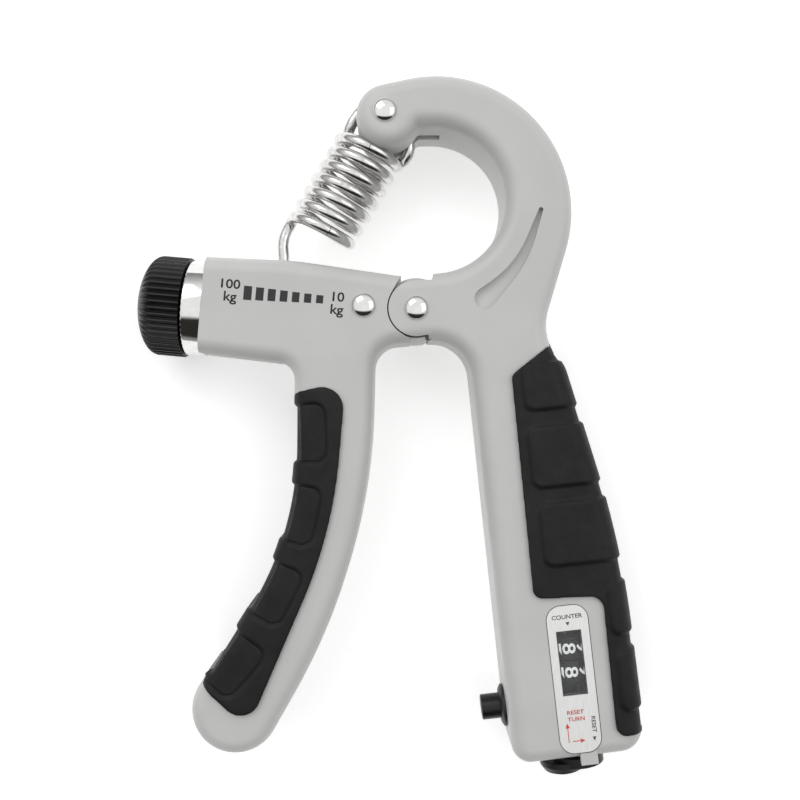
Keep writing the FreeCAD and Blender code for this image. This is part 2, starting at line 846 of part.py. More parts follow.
def make_knob():
    """Domed knob with a plug that reaches into the collar, and fine ribs round its rim."""
    start = knob_start()
    rim = start + " + knob_length"
    body = turned("TensionKnob", [
        (start + " - 4", "screw_radius"),
        (rim, "screw_radius"),
        (rim, "0"),
        (rim + " + knob_dome", "0"),
        (rim + " + 0.9 * knob_dome", "0.436 * knob_radius"),
        (rim + " + 0.72 * knob_dome", "0.694 * knob_radius"),
        (rim + " + 0.45 * knob_dome", "0.893 * knob_radius"),
        (rim, "knob_radius"),
        (start, "knob_radius"),
        (start, "bore_radius - 0.4"),
        (start + " - 4", "bore_radius - 0.4"),
    ], barrel_place())
    doc.recompute()
    groove_sketch = new_sketch(body, "Knob_groove", "0", "YZ_Plane")
    groove_sketch.setExpression("AttachmentOffset.Base.z", linked(start + " - 1"))
    reach = "knob_radius + rib_offset"
    centre = FreeCAD.Vector(cell(reach), 0, 0)
    circle = Part.Circle(centre, FreeCAD.Vector(0, 0, 1), cell("rib_radius"))
    groove_sketch.addGeometry(circle, False)
    bind(groove_sketch, Sketcher.Constraint("Radius", 0, cell("rib_radius")), "rib_radius")
    bind(groove_sketch, Sketcher.Constraint("DistanceX", -1, 1, 0, 3, cell(reach)), reach)
    groove = body.newObject("PartDesign::Pocket", "Knob_rib_cut")
    groove.Profile = groove_sketch
    groove.setExpression("Length", linked("knob_length + 1"))
    groove.Reversed = True
    body.Tip = groove
    doc.recompute()
    ribs = body.newObject("PartDesign::PolarPattern", "Knob_ribs")
    ribs.Originals = [groove]
    ribs.Axis = (groove_sketch, ["N_Axis"])
    ribs.Angle = 360
    ribs.setExpression("Occurrences", linked("knob_ribs"))
    body.Tip = ribs
    keep(body, "tension_knob")


def make_screw_train():
    place = barrel_place()
    tail = "bore_start - bearing_length"
    bearing = tube(tail + " + 0.2", "bore_start - 0.1", "screw_radius + fit_gap", "bearing_radius")
    keep(turned("ScrewBearing", bearing, place), "screw_bearing")
    rim = knob_start() + " + knob_length"
    keep(turned("LeadScrew", rod(tail + " + 0.4", rim, "screw_radius"), place), "lead_screw")
    washer = tube("barrel_end - collar_spigot - 1.3", "barrel_end - collar_spigot - 0.3",
                  "screw_radius", "bore_radius - 0.4")
    keep(turned("ThrustWasher", washer, place), "thrust_washer")


def make_nut():
    """Carriage with a hook pocket in its top, run along the barrel by the screw."""
    place = barrel_place()
    low = "nut_place - nut_length / 2"
    high = "nut_place + nut_length / 2"
    drum = turned("NutDrum", tube(low, high, "screw_radius + fit_gap", "bore_radius - 0.08"), place)
    pocket = block("NutPocket", (low + " - 1", "-20", "-wire_radius - 0.25"),
                   ("nut_length + 2", "20 - screw_radius - 0.4", "2 * wire_radius + 0.5"), place)
    along = place.multiply(FreeCAD.Placement(
        FreeCAD.Vector(cell("nut_place"), -cell("hook_pin_rise"), 0),
        FreeCAD.Rotation(FreeCAD.Vector(0, 1, 0), -90)))
    pin_bore = turned("NutPinBore", rod("-8", "8", "hook_pin_radius"), along)
    keep(cut("TensionNut", drum, [pocket, pin_bore]), "tension_nut")
    reach = "2.9"
    keep(turned("HookPin", rod("-" + reach, reach, "hook_pin_radius"), along), "hook_pin")


make_collar()
make_knob()
make_screw_train()
make_nut()


# ---------------------------------------------------------------- spring

def hook_pin_spot():
    """Where the nut's hook pin stands, seen from the front."""
    pin = barrel_place().multVec(FreeCAD.Vector(cell("nut_place"), -cell("hook_pin_rise"), 0))
    return pin.x, pin.y


HOOK_PIN = hook_pin_spot()
SPRING_TURN = math.degrees(math.atan2(HOOK_PIN[1] - cell("anchor_y"), HOOK_PIN[0] - cell("anchor_x")))


def spring_place():
    """At the anchor pin, with local +X down the spring towards the hook pin."""
    return spot("anchor_x", "anchor_y", "mid_height", str(SPRING_TURN))


def half_coil(name, node, first_turn, turns):
    """Part of the helix, as a round wire swept along its centre line."""
    helix = doc.addObject("Part::Helix", name + "Line")
    helix.setExpression("Pitch", linked("coil_pitch"))
    helix.setExpression("Height", linked("coil_pitch * %s" % turns))
    helix.setExpression("Radius", linked("coil_radius"))
    section = doc.addObject("Part::Circle", name + "Section")
    section.setExpression("Radius", linked("wire_radius"))
    section.Placement = FreeCAD.Placement(
        FreeCAD.Vector(cell("coil_radius"), 0, 0), FreeCAD.Rotation(FreeCAD.Vector(1, 0, 0), 90))
    sweep = doc.addObject("Part::Sweep", name)
    sweep.Sections = [section]
    sweep.Spine = (helix, ["Edge1"])
    sweep.Solid = True
    sweep.Frenet = True
    along = FreeCAD.Placement(
        FreeCAD.Vector(cell("coil_start") + first_turn * cell("coil_pitch"), 0, 0),
        FreeCAD.Rotation(FreeCAD.Vector(0, 1, 0), 90).multiply(
            FreeCAD.Rotation(FreeCAD.Vector(0, 0, 1), 360 * (first_turn % 1) - 90)))
    sweep.Placement = spring_place().multiply(along)
    keep(sweep, node)


def bent_wire(name, node, points):
    """Round wire along straight runs joined by tangent arcs; points are (x, y, z, bend radius)."""
    path = []
    here = FreeCAD.Vector(*points[0][:3])
    for index in range(1, len(points) - 1):
        before, corner, after = (FreeCAD.Vector(*points[index + step][:3]) for step in (-1, 0, 1))
        back = (before - corner).normalize()
        ahead = (after - corner).normalize()
        half = math.acos(max(-1.0, min(1.0, back.dot(ahead)))) / 2
        run = points[index][3] / math.tan(half)
        start, end = corner + back * run, corner + ahead * run
        middle_way = (back + ahead).normalize()
        centre = corner + middle_way * (points[index][3] / math.sin(half))
        path.append(Part.LineSegment(here, start).toShape())
        path.append(Part.Arc(start, centre - middle_way * points[index][3], end).toShape())
        here = end
    path.append(Part.LineSegment(here, FreeCAD.Vector(*points[-1][:3])).toShape())
    line = Part.Wire(path)
    ahead = path[0].tangentAt(path[0].FirstParameter)
    section = Part.Wire(Part.makeCircle(cell("wire_radius"), FreeCAD.Vector(*points[0][:3]), ahead))
    item = doc.addObject("Part::Feature", name)
    item.Shape = line.makePipeShell([section], True, True)
    item.Placement = spring_place()
    keep(item, node)


def make_upper_loop():
    """Loop over the anchor sleeve: up from the coil's side, over the pin and down the other side."""
    side = cell("coil_radius")
    top = -cell("anchor_pin_radius + sleeve_wall + wire_radius + 0.05")
    foot = cell("coil_start - wire_radius - 0.05")
    bend = side - 0.2
    bent_wire("UpperLoop", "spring_upper_loop", [
        (foot, -side, 0),
        (top, -side, 0, bend),
        (top, side, 0, bend),
        (foot - 2.0, side, 0, 1.5 * cell("wire_radius")),
        (foot - 0.6, side - 3.0, 0),
    ])


def make_lower_hook():
    """Hook round the nut's pin: straight down from the coil's side, in towards the pin, and round it."""
    side = cell("coil_radius")
    foot = cell("coil_start + coil_turns * coil_pitch + wire_radius + 0.05")
    pin = math.hypot(HOOK_PIN[0] - cell("anchor_x"), HOOK_PIN[1] - cell("anchor_y"))
    wrap = cell("hook_pin_radius + wire_radius + 0.1")
    lean = math.radians(32)
    touch = (pin + wrap * math.sin(lean), -wrap * math.cos(lean))
    knee = touch[0] - (touch[1] + side) / math.tan(lean)
    corner = touch[0] + (wrap - touch[1]) / math.tan(lean)
    bent_wire("LowerHook", "spring_lower_hook", [
        (foot, -side, 0),
        (knee, -side, 0, 6.0),
        (corner, wrap, 0, wrap),
        (pin - 1.6, wrap, 0),
    ])


def make_spring():
    turns = int(cell("coil_turns")) / 2
    make_upper_loop()
    half_coil("CoilUpper", "spring_coil_upper", 0, turns)
    half_coil("CoilLower", "spring_coil_lower", turns, turns)
    make_lower_hook()


make_spring()


# ---------------------------------------------------------------- counter


def make_window():
    place = face_place()
    label = plate("CounterPlate", counter_plate_turns("0.05"), "-plate_thickness", "plate_thickness")
    label.Placement = place
    opening = block("PlateWindow", ("-window_width / 2", "-window_length / 2", "-3"),
                    ("window_width", "window_length", "5"), place)
    keep(cut("LabelPlate", label, [opening]), "counter_plate")
    lens = block("CounterLens",
                 ("-window_width / 2 - 0.45", "-window_length / 2 - 0.45", "-plate_thickness - lens_thickness"),
                 ("window_width + 0.9", "window_length + 0.9", "lens_thickness - 0.02"), place)
    keep(lens, "counter_lens")


def drum(node, name, centre):
    low = "%s - drum_width / 2" % centre
    high = "%s + drum_width / 2" % centre
    profile = tube(low, high, "shaft_radius + fit_gap", "drum_radius")
    keep(turned(name, profile, shaft_place()), node)


def wheel(name, node, low, high, bore, tip, teeth, place):
    """Toothed wheel: a turned disc with round gashes between its teeth."""
    body = turned(name, tube(low, high, bore, tip), place)
    doc.recompute()
    sketch = new_sketch(body, name + "_gash", low + " - 1", "YZ_Plane")
    radius = "%s * 3.1416 / %d * 0.62" % (tip, teeth)
    circle = Part.Circle(FreeCAD.Vector(cell(tip), 0, 0), FreeCAD.Vector(0, 0, 1), cell(radius))
    sketch.addGeometry(circle, False)
    bind(sketch, Sketcher.Constraint("Radius", 0, cell(radius)), radius)
    bind(sketch, Sketcher.Constraint("DistanceX", -1, 1, 0, 3, cell(tip)), tip)
    gash = body.newObject("PartDesign::Pocket", name + "_cut")
    gash.Profile = sketch
    gash.setExpression("Length", linked("%s - (%s) + 2" % (high, low)))
    gash.Reversed = True
    body.Tip = gash
    doc.recompute()
    pattern = body.newObject("PartDesign::PolarPattern", name + "_teeth")
    pattern.Originals = [gash]
    pattern.Axis = (sketch, ["N_Axis"])
    pattern.Angle = 360
    pattern.Occurrences = teeth
    body.Tip = pattern
    return keep(body, node)


def make_drums():
    step = "(drum_width + drum_gap) / 2"
    drum("tens_drum", "TensDrum", "-" + step)
    drum("units_drum", "UnitsDrum", step)
    ratchet_low = "ratchet_place - 1"
    wheel("RatchetWheel", "ratchet_wheel", ratchet_low, "ratchet_place + 1", "shaft_radius + fit_gap",
          "ratchet_radius", 10, shaft_place())
    sleeve = tube("drum_width + drum_gap / 2 + 0.02", ratchet_low + " - 0.02",
                  "shaft_radius + fit_gap", "shaft_radius + 0.9")
    keep(turned("UnitsHub", sleeve, shaft_place()), "units_hub")
    keep(turned("DrumShaft", rod("-8.6", "base_face + 0.4", "shaft_radius"), shaft_place()), "drum_shaft")


def bracket_place():
    return spot("window_x", "window_y", "mid_height", "counter_turn - 90")


def make_bracket():
    """Sheet frame that carries the drum shaft, the pinion shaft and the plunger's stem."""
    place = bracket_place()
    floor_low = "-case_half + face_wall + 0.05"
    floor = block("FrameFloor", ("-8", "-5.9", floor_low), ("24", "11.8", "1"), place)
    rise = "case_half - face_wall + shaft_rise + 2.2"
    walls = []
    for index, along in enumerate(("-8", "15")):
        walls.append(block("FrameWall%d" % index, (along, "-5.9", floor_low), ("1", "11.8", rise), place))
    stem = plunger_place()
    walls.append(block("FrameFoot", ("-13", "-3.6", floor_low), ("5.5", "7.2", "1"), stem))
    walls.append(block("FrameStemWall", ("-8.4", "-3.6", floor_low), ("0.9", "7.2", "12.2"), stem))
    bores = [
        turned("FrameShaftBore", rod("-9", "17", "shaft_radius + fit_gap"), shaft_place()),
        turned("FramePinionBore", rod("-9", "17", "0.8 + fit_gap"), pinion_place()),
        turned("FrameStemBore", rod("-9", "-7", "stem_radius + 0.1"), stem),
        block("FramePawlSlot", ("-9", "-1.4", "-3"), ("2", "2.8", "2"), stem),
    ]
    solid = fuse("FrameSolid", [floor] + walls)
    keep(cut("CounterFrame", solid, bores), "counter_frame")


def pinion_place():
    """The transfer pinion's axis, parallel to the drums and below them."""
    return spot("window_x", "window_y", "mid_height + shaft_rise - drum_radius - 2.9",
                "counter_turn - 90")


def make_pinion():
    wheel("TransferPinion", "transfer_pinion", "-1.6", "1.6", "0.8", "2.4", 8, pinion_place())
    keep(turned("PinionShaft", rod("-7.9", "15.9", "0.8"), pinion_place()), "pinion_shaft")


def make_plunger():
    place = plunger_place()
    shoulder = "-wall - 0.2"
    tail = "-8.5"
    profile = [
        (tail, "0"),
        ("plunger_reach", "0"),
        ("plunger_reach", "plunger_radius - 0.3"),
        ("plunger_reach - 0.3", "plunger_radius"),
        (shoulder, "plunger_radius"),
        (shoulder, "plunger_radius + 1.1"),
        (shoulder + " - 0.8", "plunger_radius + 1.1"),
        (shoulder + " - 0.8", "stem_radius"),
        (tail, "stem_radius"),
    ]
    keep(turned("Plunger", profile, place), "count_plunger")
    bezel = [
        ("0.05", "plunger_radius + 0.1"),
        ("bezel_height", "plunger_radius + 0.1"),
        ("bezel_height", "plunger_radius + 0.8"),
        ("0.5 * bezel_height", "bezel_radius"),
        ("0.05", "bezel_radius"),
    ]
    keep(turned("PlungerBezel", bezel, place), "plunger_bezel")
    strip = block("PawlStrip", ("-15.6", "-0.8", "-stem_radius - 0.5"), ("9.6", "1.6", "0.45"), place)
    tooth = block("PawlTooth", ("-15.6", "-0.8", "-stem_radius - 0.1"), ("0.7", "1.6", "0.9"), place)
    keep(fuse("RatchetPawl", [strip, tooth]), "ratchet_pawl")


def make_plunger_spring():
    """Fine coil round the plunger's stem, drawn as the thin sleeve that its turns fill."""
    sleeve = tube("-7.2", "-wall - 1.2", "stem_radius + 0.75", "stem_radius + 1.15")
    keep(turned("PlungerSpring", sleeve, plunger_place()), "plunger_spring")


def make_key():
    """Reset key: a hub on the drum shaft with a raised lobe that passes below the shell's tab."""
    place = shaft_place()
    low = "base_face + 0.3"
    hub = turned("KeyHub", tube(low, low + " + key_height", "shaft_radius", "key_radius"), place)
    lobe_place = place.multiply(FreeCAD.Placement(
        FreeCAD.Vector(0, -cell("key_lobe_reach"), 0), FreeCAD.Rotation()))
    lobe_low = low + " + tab_reach"
    top = low + " + key_height + key_lobe_height"
    lobe = turned("KeyLobe", [
        (lobe_low, "0"),
        (top, "0"),
        (top + " - 0.3", "0.5 * key_lobe_radius"),
        (top + " - 1.1", "0.85 * key_lobe_radius"),
        (top + " - 2.4", "key_lobe_radius"),
        (lobe_low, "key_lobe_radius"),
    ], lobe_place)
    solid = fuse("KeySolid", [hub, lobe])
    bore = turned("KeyBore", rod(low + " - 1", "base_face + 0.4", "shaft_radius"), place)
    keep(cut("ResetKey", solid, [bore]), "reset_key")


def make_screws():
    pieces = []
    for index, (x, y) in enumerate(drive_holes()):
        seat = CASE_LOW + " + 1.6"
        shank = rod(seat + " - 0.1", CASE_LOW + " + screw_length", "screw_shank_radius")
        head = rod(seat + " - 1.3", seat, "screw_head_radius")
        pieces.append(fuse("CaseScrew%d" % index, [
            upright("Shank%d" % index, x, y, shank),
            upright("Head%d" % index, x, y, head),
        ]))
    group = doc.addObject("Part::Compound", "CaseScrews")
    group.Links = pieces
    keep(group, "case_screws")


make_window()
make_drums()
make_bracket()
make_pinion()
make_plunger()
make_plunger_spring()
make_key()
make_screws()


# ---------------------------------------------------------------- checks and files


def write_parts():
    doc.recompute()
    broken = [item.Name for item in doc.Objects if "Invalid" in item.State or "Error" in item.State]
    if broken:
        raise RuntimeError("these objects failed: " + ", ".join(broken))
    os.makedirs("parts", exist_ok=True)
    for item in SUBPARTS:
        shape = item.Shape
        if shape.isNull() or not shape.isValid() or not shape.Solids:
            raise RuntimeError(item.Label + " is not a valid solid")
        shape.exportStep("parts/%s.step" % item.Label)
        print("%-22s solids %d  volume %9.1f" % (item.Label, len(shape.Solids), shape.Volume))


write_parts()
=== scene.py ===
"""Looks for the spring hand-grip dynamometer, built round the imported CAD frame."""
import json
import math

import bmesh
import bpy
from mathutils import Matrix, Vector


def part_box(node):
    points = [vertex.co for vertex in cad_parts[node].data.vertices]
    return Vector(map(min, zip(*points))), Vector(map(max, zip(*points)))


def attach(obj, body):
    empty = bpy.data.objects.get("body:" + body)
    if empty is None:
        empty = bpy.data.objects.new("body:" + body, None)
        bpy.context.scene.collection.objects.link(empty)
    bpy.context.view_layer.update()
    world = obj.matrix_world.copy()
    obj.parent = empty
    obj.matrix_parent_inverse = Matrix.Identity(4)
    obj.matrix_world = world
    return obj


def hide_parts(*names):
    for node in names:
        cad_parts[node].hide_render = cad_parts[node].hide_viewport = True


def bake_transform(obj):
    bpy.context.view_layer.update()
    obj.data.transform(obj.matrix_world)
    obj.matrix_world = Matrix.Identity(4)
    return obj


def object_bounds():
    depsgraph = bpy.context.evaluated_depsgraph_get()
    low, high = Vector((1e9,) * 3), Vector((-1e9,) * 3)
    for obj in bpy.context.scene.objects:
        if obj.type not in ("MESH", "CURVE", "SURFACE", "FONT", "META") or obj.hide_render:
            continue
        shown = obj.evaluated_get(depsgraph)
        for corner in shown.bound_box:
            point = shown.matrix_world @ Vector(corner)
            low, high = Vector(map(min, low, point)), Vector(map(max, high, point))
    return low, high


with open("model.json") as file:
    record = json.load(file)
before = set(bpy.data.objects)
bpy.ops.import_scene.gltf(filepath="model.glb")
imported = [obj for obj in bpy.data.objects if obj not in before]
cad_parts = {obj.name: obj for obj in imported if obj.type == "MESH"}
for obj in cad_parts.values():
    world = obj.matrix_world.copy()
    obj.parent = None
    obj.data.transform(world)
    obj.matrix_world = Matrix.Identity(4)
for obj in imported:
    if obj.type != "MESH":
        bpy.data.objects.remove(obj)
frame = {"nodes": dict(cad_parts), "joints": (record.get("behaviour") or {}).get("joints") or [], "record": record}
CAD_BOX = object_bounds()

MM = 0.001
NODES = frame["nodes"]
JOINTS = {joint["name"]: joint for joint in frame["joints"]}


def joint_point(name):
    return Vector(JOINTS[name]["pos_m"])


def joint_axis(name):
    return Vector(JOINTS[name]["axis"]).normalized()


UP = Vector((0, 0, 1))
MID_HEIGHT = joint_point("grip_squeeze").z
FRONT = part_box("right_front_shell")[1].z
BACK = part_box("right_back_shell")[0].z
BARREL_FOOT = joint_point("tension_turn")
BARREL_OUT = joint_axis("tension_turn")
BARREL_UP = UP.cross(BARREL_OUT) * -1
SHAFT_MIDDLE = joint_point("units_turn")
SHAFT_OUT = joint_axis("units_turn")
PRESS_IN = joint_axis("plunger_press")
SPRING_TOP = joint_point("spring_swing")
SPRING_DOWN = joint_axis("spring_stretch_upper")
SPRING_SIDE = UP.cross(SPRING_DOWN)


# ---------------------------------------------------------------- materials


class Shader:
    """A principled material with short calls for the nodes used here."""

    def __init__(self, name, **sockets):
        self.material = bpy.data.materials.new(name)
        self.material.use_nodes = True
        self.nodes = self.material.node_tree.nodes
        self.links = self.material.node_tree.links
        self.surface = self.nodes["Principled BSDF"]
        for socket, value in sockets.items():
            label = socket.replace("_", " ").title().replace("Ior", "IOR")
            self.surface.inputs[label].default_value = value
        self.place = self.nodes.new("ShaderNodeTexCoord").outputs["Object"]

    def stretched(self, scale, turn=0.0):
        mapping = self.nodes.new("ShaderNodeMapping")
        mapping.inputs["Scale"].default_value = scale
        mapping.inputs["Rotation"].default_value = (0, 0, turn)
        self.links.new(self.place, mapping.inputs["Vector"])
        return mapping.outputs["Vector"]

    def noise(self, scale, detail=3.0, vector=None, roughness=0.55):
        node = self.nodes.new("ShaderNodeTexNoise")
        node.inputs["Scale"].default_value = scale
        node.inputs["Detail"].default_value = detail
        node.inputs["Roughness"].default_value = roughness
        self.links.new(vector or self.place, node.inputs["Vector"])
        return node.outputs["Fac"]

    def ramp(self, factor, stops):
        node = self.nodes.new("ShaderNodeValToRGB")
        while len(node.color_ramp.elements) < len(stops):
            node.color_ramp.elements.new(0.5)
        for element, (place, colour) in zip(node.color_ramp.elements, stops):
            element.position = place
            element.color = (*colour, 1)
        self.links.new(factor, node.inputs["Fac"])
        return node.outputs["Color"]

    def vary_colour(self, factor, low, high, span=(0.35, 0.65)):
        colour = self.ramp(factor, [(span[0], low), (span[1], high)])
        self.links.new(colour, self.surface.inputs["Base Color"])

    def vary_roughness(self, factor, low, high):
        node = self.nodes.new("ShaderNodeMapRange")
        node.inputs["From Min"].default_value = 0.3
        node.inputs["From Max"].default_value = 0.7
        node.inputs["To Min"].default_value = low
        node.inputs["To Max"].default_value = high
        self.links.new(factor, node.inputs["Value"])
        self.links.new(node.outputs["Result"], self.surface.inputs["Roughness"])

    def bump(self, heights, distance, strength=1.0):
        """heights is a list of height outputs, coarse to fine, chained one after another."""
        before = None
        for height in heights:
            node = self.nodes.new("ShaderNodeBump")
            node.inputs["Strength"].default_value = strength
            node.inputs["Distance"].default_value = distance
            self.links.new(height, node.inputs["Height"])
            if before:
                self.links.new(before, node.inputs["Normal"])
            before = node.outputs["Normal"]
        self.links.new(before, self.surface.inputs["Normal"])


def case_material():
    """Light grey satin ABS with a fine mould texture and slightly rubbed patches."""
    shader = Shader("case_plastic", roughness=0.42, ior=1.5, coat_weight=0.06, coat_roughness=0.25)
    shader.vary_colour(shader.noise(45, 4), (0.575, 0.575, 0.565), (0.615, 0.615, 0.605))
    shader.vary_roughness(shader.noise(160, 5), 0.38, 0.48)
    shader.bump([shader.noise(900, 2), shader.noise(5200, 3)], 0.00001, 0.35)
    return shader.material


def rubber_material():
    """Matt black elastomer: a fine grain, with a paler bloom in patches."""
    shader = Shader("grip_rubber", roughness=0.55, specular_ior_level=0.3)
    shader.vary_colour(shader.noise(140, 5), (0.006, 0.006, 0.006), (0.011, 0.011, 0.011))
    shader.vary_roughness(shader.noise(420, 4), 0.48, 0.62)
    shader.bump([shader.noise(2600, 2), shader.noise(7000, 3)], 0.00003, 0.5)
    return shader.material


def knob_material():
    """Hard black nylon with a slight moulding haze."""
    shader = Shader("knob_plastic", roughness=0.34, specular_ior_level=0.35)
    shader.vary_colour(shader.noise(260, 4), (0.005, 0.005, 0.005), (0.010, 0.010, 0.010))
    shader.vary_roughness(shader.noise(900, 4), 0.28, 0.42)
    shader.bump([shader.noise(3400, 3)], 0.00001, 0.35)
    return shader.material


def chrome_material():
    shader = Shader("chrome_trim", metallic=1.0, roughness=0.07)
    shader.vary_colour(shader.noise(500, 3), (0.74, 0.74, 0.73), (0.80, 0.80, 0.79))
    shader.vary_roughness(shader.noise(1500, 5), 0.045, 0.11)
    shader.bump([shader.noise(700, 2)], 0.000006, 0.25)
    return shader.material


def spring_material():
    """Nickel-plated drawn wire: faint draw marks and small dull spots."""
    shader = Shader("spring_steel", metallic=1.0, roughness=0.16)
    shader.vary_colour(shader.noise(900, 5), (0.62, 0.61, 0.60), (0.78, 0.775, 0.765))
    shader.vary_roughness(shader.noise(2100, 5), 0.10, 0.24)
    shader.bump([shader.noise(2600, 4)], 0.000008, 0.3)
    return shader.material


def label_material():
    """Silver plate with fine brushing along its length."""
    shader = Shader("label_metal", metallic=0.35, roughness=0.34)
    turn = math.atan2(SHAFT_OUT.x, -SHAFT_OUT.y)
    grain = shader.noise(1.0, 5, shader.stretched((9000, 260, 260), -turn))
    shader.vary_colour(grain, (0.80, 0.80, 0.79), (0.93, 0.93, 0.92))
    shader.vary_roughness(grain, 0.27, 0.42)
    shader.bump([grain], 0.000004, 0.3)
    return shader.material


def lens_material():
    """Clear window: lets the drums show, with a faint smoke tint."""
    shader = Shader("smoked_lens", roughness=0.03, ior=1.46, transmission_weight=1.0)
    shader.surface.inputs["Base Color"].default_value = (0.86, 0.87, 0.88, 1)
    shader.vary_roughness(shader.noise(800, 3), 0.02, 0.05)
    shader.bump([shader.noise(160, 2)], 0.000004, 0.15)
    return shader.material


def drum_material():
    shader = Shader("drum_plastic", roughness=0.42)
    shader.vary_colour(shader.noise(600, 3), (0.008, 0.008, 0.009), (0.013, 0.013, 0.014))
    shader.bump([shader.noise(4200, 3)], 0.000008, 0.3)
    return shader.material


def brass_material():
    shader = Shader("bearing_brass", metallic=1.0, roughness=0.26)
    rings = shader.noise(1.0, 4, shader.stretched((4200, 700, 4200)))
    shader.vary_colour(rings, (0.60, 0.42, 0.18), (0.74, 0.56, 0.27))
    shader.vary_roughness(rings, 0.2, 0.34)
    return shader.material


def steel_material():
    shader = Shader("zinc_steel", metallic=1.0, roughness=0.28)
    shader.vary_colour(shader.noise(1100, 5), (0.52, 0.53, 0.54), (0.66, 0.67, 0.68))
    shader.vary_roughness(shader.noise(1700, 4), 0.2, 0.36)
    shader.bump([shader.noise(3000, 3)], 0.000006, 0.3)
    return shader.material


def ink_material(name, low, high, painted_light_glow=0.0):
    """Pad-printed ink: nearly flat, a little thin in places. A glow above zero is painted light: the ink shines
    though no lamp lights it.
    """
    shader = Shader(name, roughness=0.5, emission_strength=painted_light_glow)
    shader.surface.inputs["Emission Color"].default_value = (1, 1, 1, 1)
    shader.vary_colour(shader.noise(2500, 4), low, high)
    shader.bump([shader.noise(6000, 2)], 0.000004, 0.3)
    return shader.material


def floor_material():
    """White sweep, lit from within so the object stands on plain white."""
    shader = Shader("studio_floor", roughness=0.9, emission_strength=0.42)
    shader.vary_colour(shader.noise(8, 2), (0.90, 0.90, 0.90), (0.93, 0.93, 0.93))
    shader.surface.inputs["Emission Color"].default_value = (1, 1, 1, 1)
    return shader.material


MATERIALS = {
    "case_plastic": case_material(),
    "grip_rubber": rubber_material(),
    "knob_plastic": knob_material(),
    "chrome_trim": chrome_material(),
    "spring_steel": spring_material(),
    "label_metal": label_material(),
    "smoked_lens": lens_material(),
    "drum_plastic": drum_material(),
    "bearing_brass": brass_material(),
    "zinc_steel": steel_material(),
    "black_ink": ink_material("black_ink", (0.012, 0.012, 0.012), (0.022, 0.022, 0.022)),
    "grey_ink": ink_material("grey_ink", (0.05, 0.05, 0.055), (0.09, 0.09, 0.09)),
    "red_ink": ink_material("red_ink", (0.62, 0.06, 0.03), (0.72, 0.10, 0.06)),
    # white_ink glows at 0.55: painted light that brightens the digits behind the lens, where little light reaches
    # them.
    "white_ink": ink_material("white_ink", (0.84, 0.84, 0.82), (0.92, 0.92, 0.90), 0.55),
}


def paint(piece, material):
    """Give a piece its material."""
    piece.data.materials.clear()
    piece.data.materials.append(MATERIALS[material])
    return piece


def paint_cad_nodes():
    for part in frame["record"]["subparts"]:
        node = NODES[part["node"]]
        node.data.materials.clear()
        node.data.materials.append(MATERIALS[part["material_slot"]])


# ---------------------------------------------------------------- mesh helpers


def piece_from(name, vertices, faces, sharp_degrees=None):
    mesh = bpy.data.meshes.new(name)
    mesh.from_pydata([tuple(point) for point in vertices], [], faces)
    mesh.update()
    piece = bpy.data.objects.new(name, mesh)
    bpy.context.scene.collection.objects.link(piece)
    tidy_normals(piece)
    mesh.shade_smooth()
    if sharp_degrees:
        mesh.set_sharp_from_angle(angle=math.radians(sharp_degrees))
    return piece


def tidy_normals(piece):
    work = bmesh.new()
    work.from_mesh(piece.data)
    bmesh.ops.remove_doubles(work, verts=work.verts, dist=1e-8)
    bmesh.ops.recalc_face_normals(work, faces=work.faces)
    work.to_mesh(piece.data)
    work.free()


def rounded(profile, steps=5):
    """(along, radius, fillet) corners in millimetres to points, each corner turned into an arc."""
    points = []
    for index, (along, radius, fillet) in enumerate(profile):
        corner = Vector((along, radius))
        if not fillet or index in (0, len(profile) - 1):
            points.append(corner)
            continue
        back = Vector(profile[index - 1][:2]) - corner
        ahead = Vector(profile[index + 1][:2]) - corner
        reach = min(fillet, 0.49 * back.length, 0.49 * ahead.length)
        first = corner + back.normalized() * reach
        last = corner + ahead.normalized() * reach
        for step in range(steps + 1):
            share = step / steps
            points.append(first * (1 - share) ** 2 + corner * 2 * share * (1 - share) + last * share ** 2)
    return points


def lathe(name, origin, axis, profile, segments=96, wave=None, sharp_degrees=None):
    """Closed turned piece: points (along, radius) in millimetres, spun about axis from origin.

    wave(along, angle) returns millimetres to add to the radius there.
    """
    axis = axis.normalized()
    side = axis.orthogonal().normalized()
    other = axis.cross(side)
    vertices = []
    for along, radius in profile:
        for index in range(segments):
            angle = 2 * math.pi * index / segments
            reach = radius + (wave(along, angle) if wave and radius > 0 else 0)
            around = side * math.cos(angle) + other * math.sin(angle)
            vertices.append(origin + (axis * along + around * reach) * MM)
    faces = []
    for ring in range(len(profile) - 1):
        for index in range(segments):
            after = (index + 1) % segments
            here, there = ring * segments, (ring + 1) * segments
            faces.append((here + index, here + after, there + after, there + index))
    return piece_from(name, vertices, faces, sharp_degrees)


def sweep(name, points, radius, steady):
    """Round wire with flat ends along points, in metres.

    Its rings start square to the spring's axis. They stay so when steady, which a coil can,
    and otherwise turn no more than the wire does.
    """
    tangents = []
    for index in range(len(points)):
        before = points[max(index - 1, 0)]
        after = points[min(index + 1, len(points) - 1)]
        tangents.append((after - before).normalized())
    side = SPRING_DOWN
    vertices = []
    for point, tangent in zip(points, tangents):
        if steady:
            side = SPRING_DOWN
        side = (side - tangent * side.dot(tangent)).normalized()
        other = tangent.cross(side)
        for step in range(WIRE_SIDES):
            angle = 2 * math.pi * step / WIRE_SIDES
            vertices.append(point + (side * math.cos(angle) + other * math.sin(angle)) * radius)
    faces = []
    for ring in range(len(points) - 1):
        for step in range(WIRE_SIDES):
            after = (step + 1) % WIRE_SIDES
            here, there = ring * WIRE_SIDES, (ring + 1) * WIRE_SIDES
            faces.append((here + step, here + after, there + after, there + step))
    last_ring = (len(points) - 1) * WIRE_SIDES
    faces.append(tuple(reversed(range(WIRE_SIDES))))
    faces.append(tuple(last_ring + step for step in range(WIRE_SIDES)))
    return piece_from(name, vertices, faces, 60)


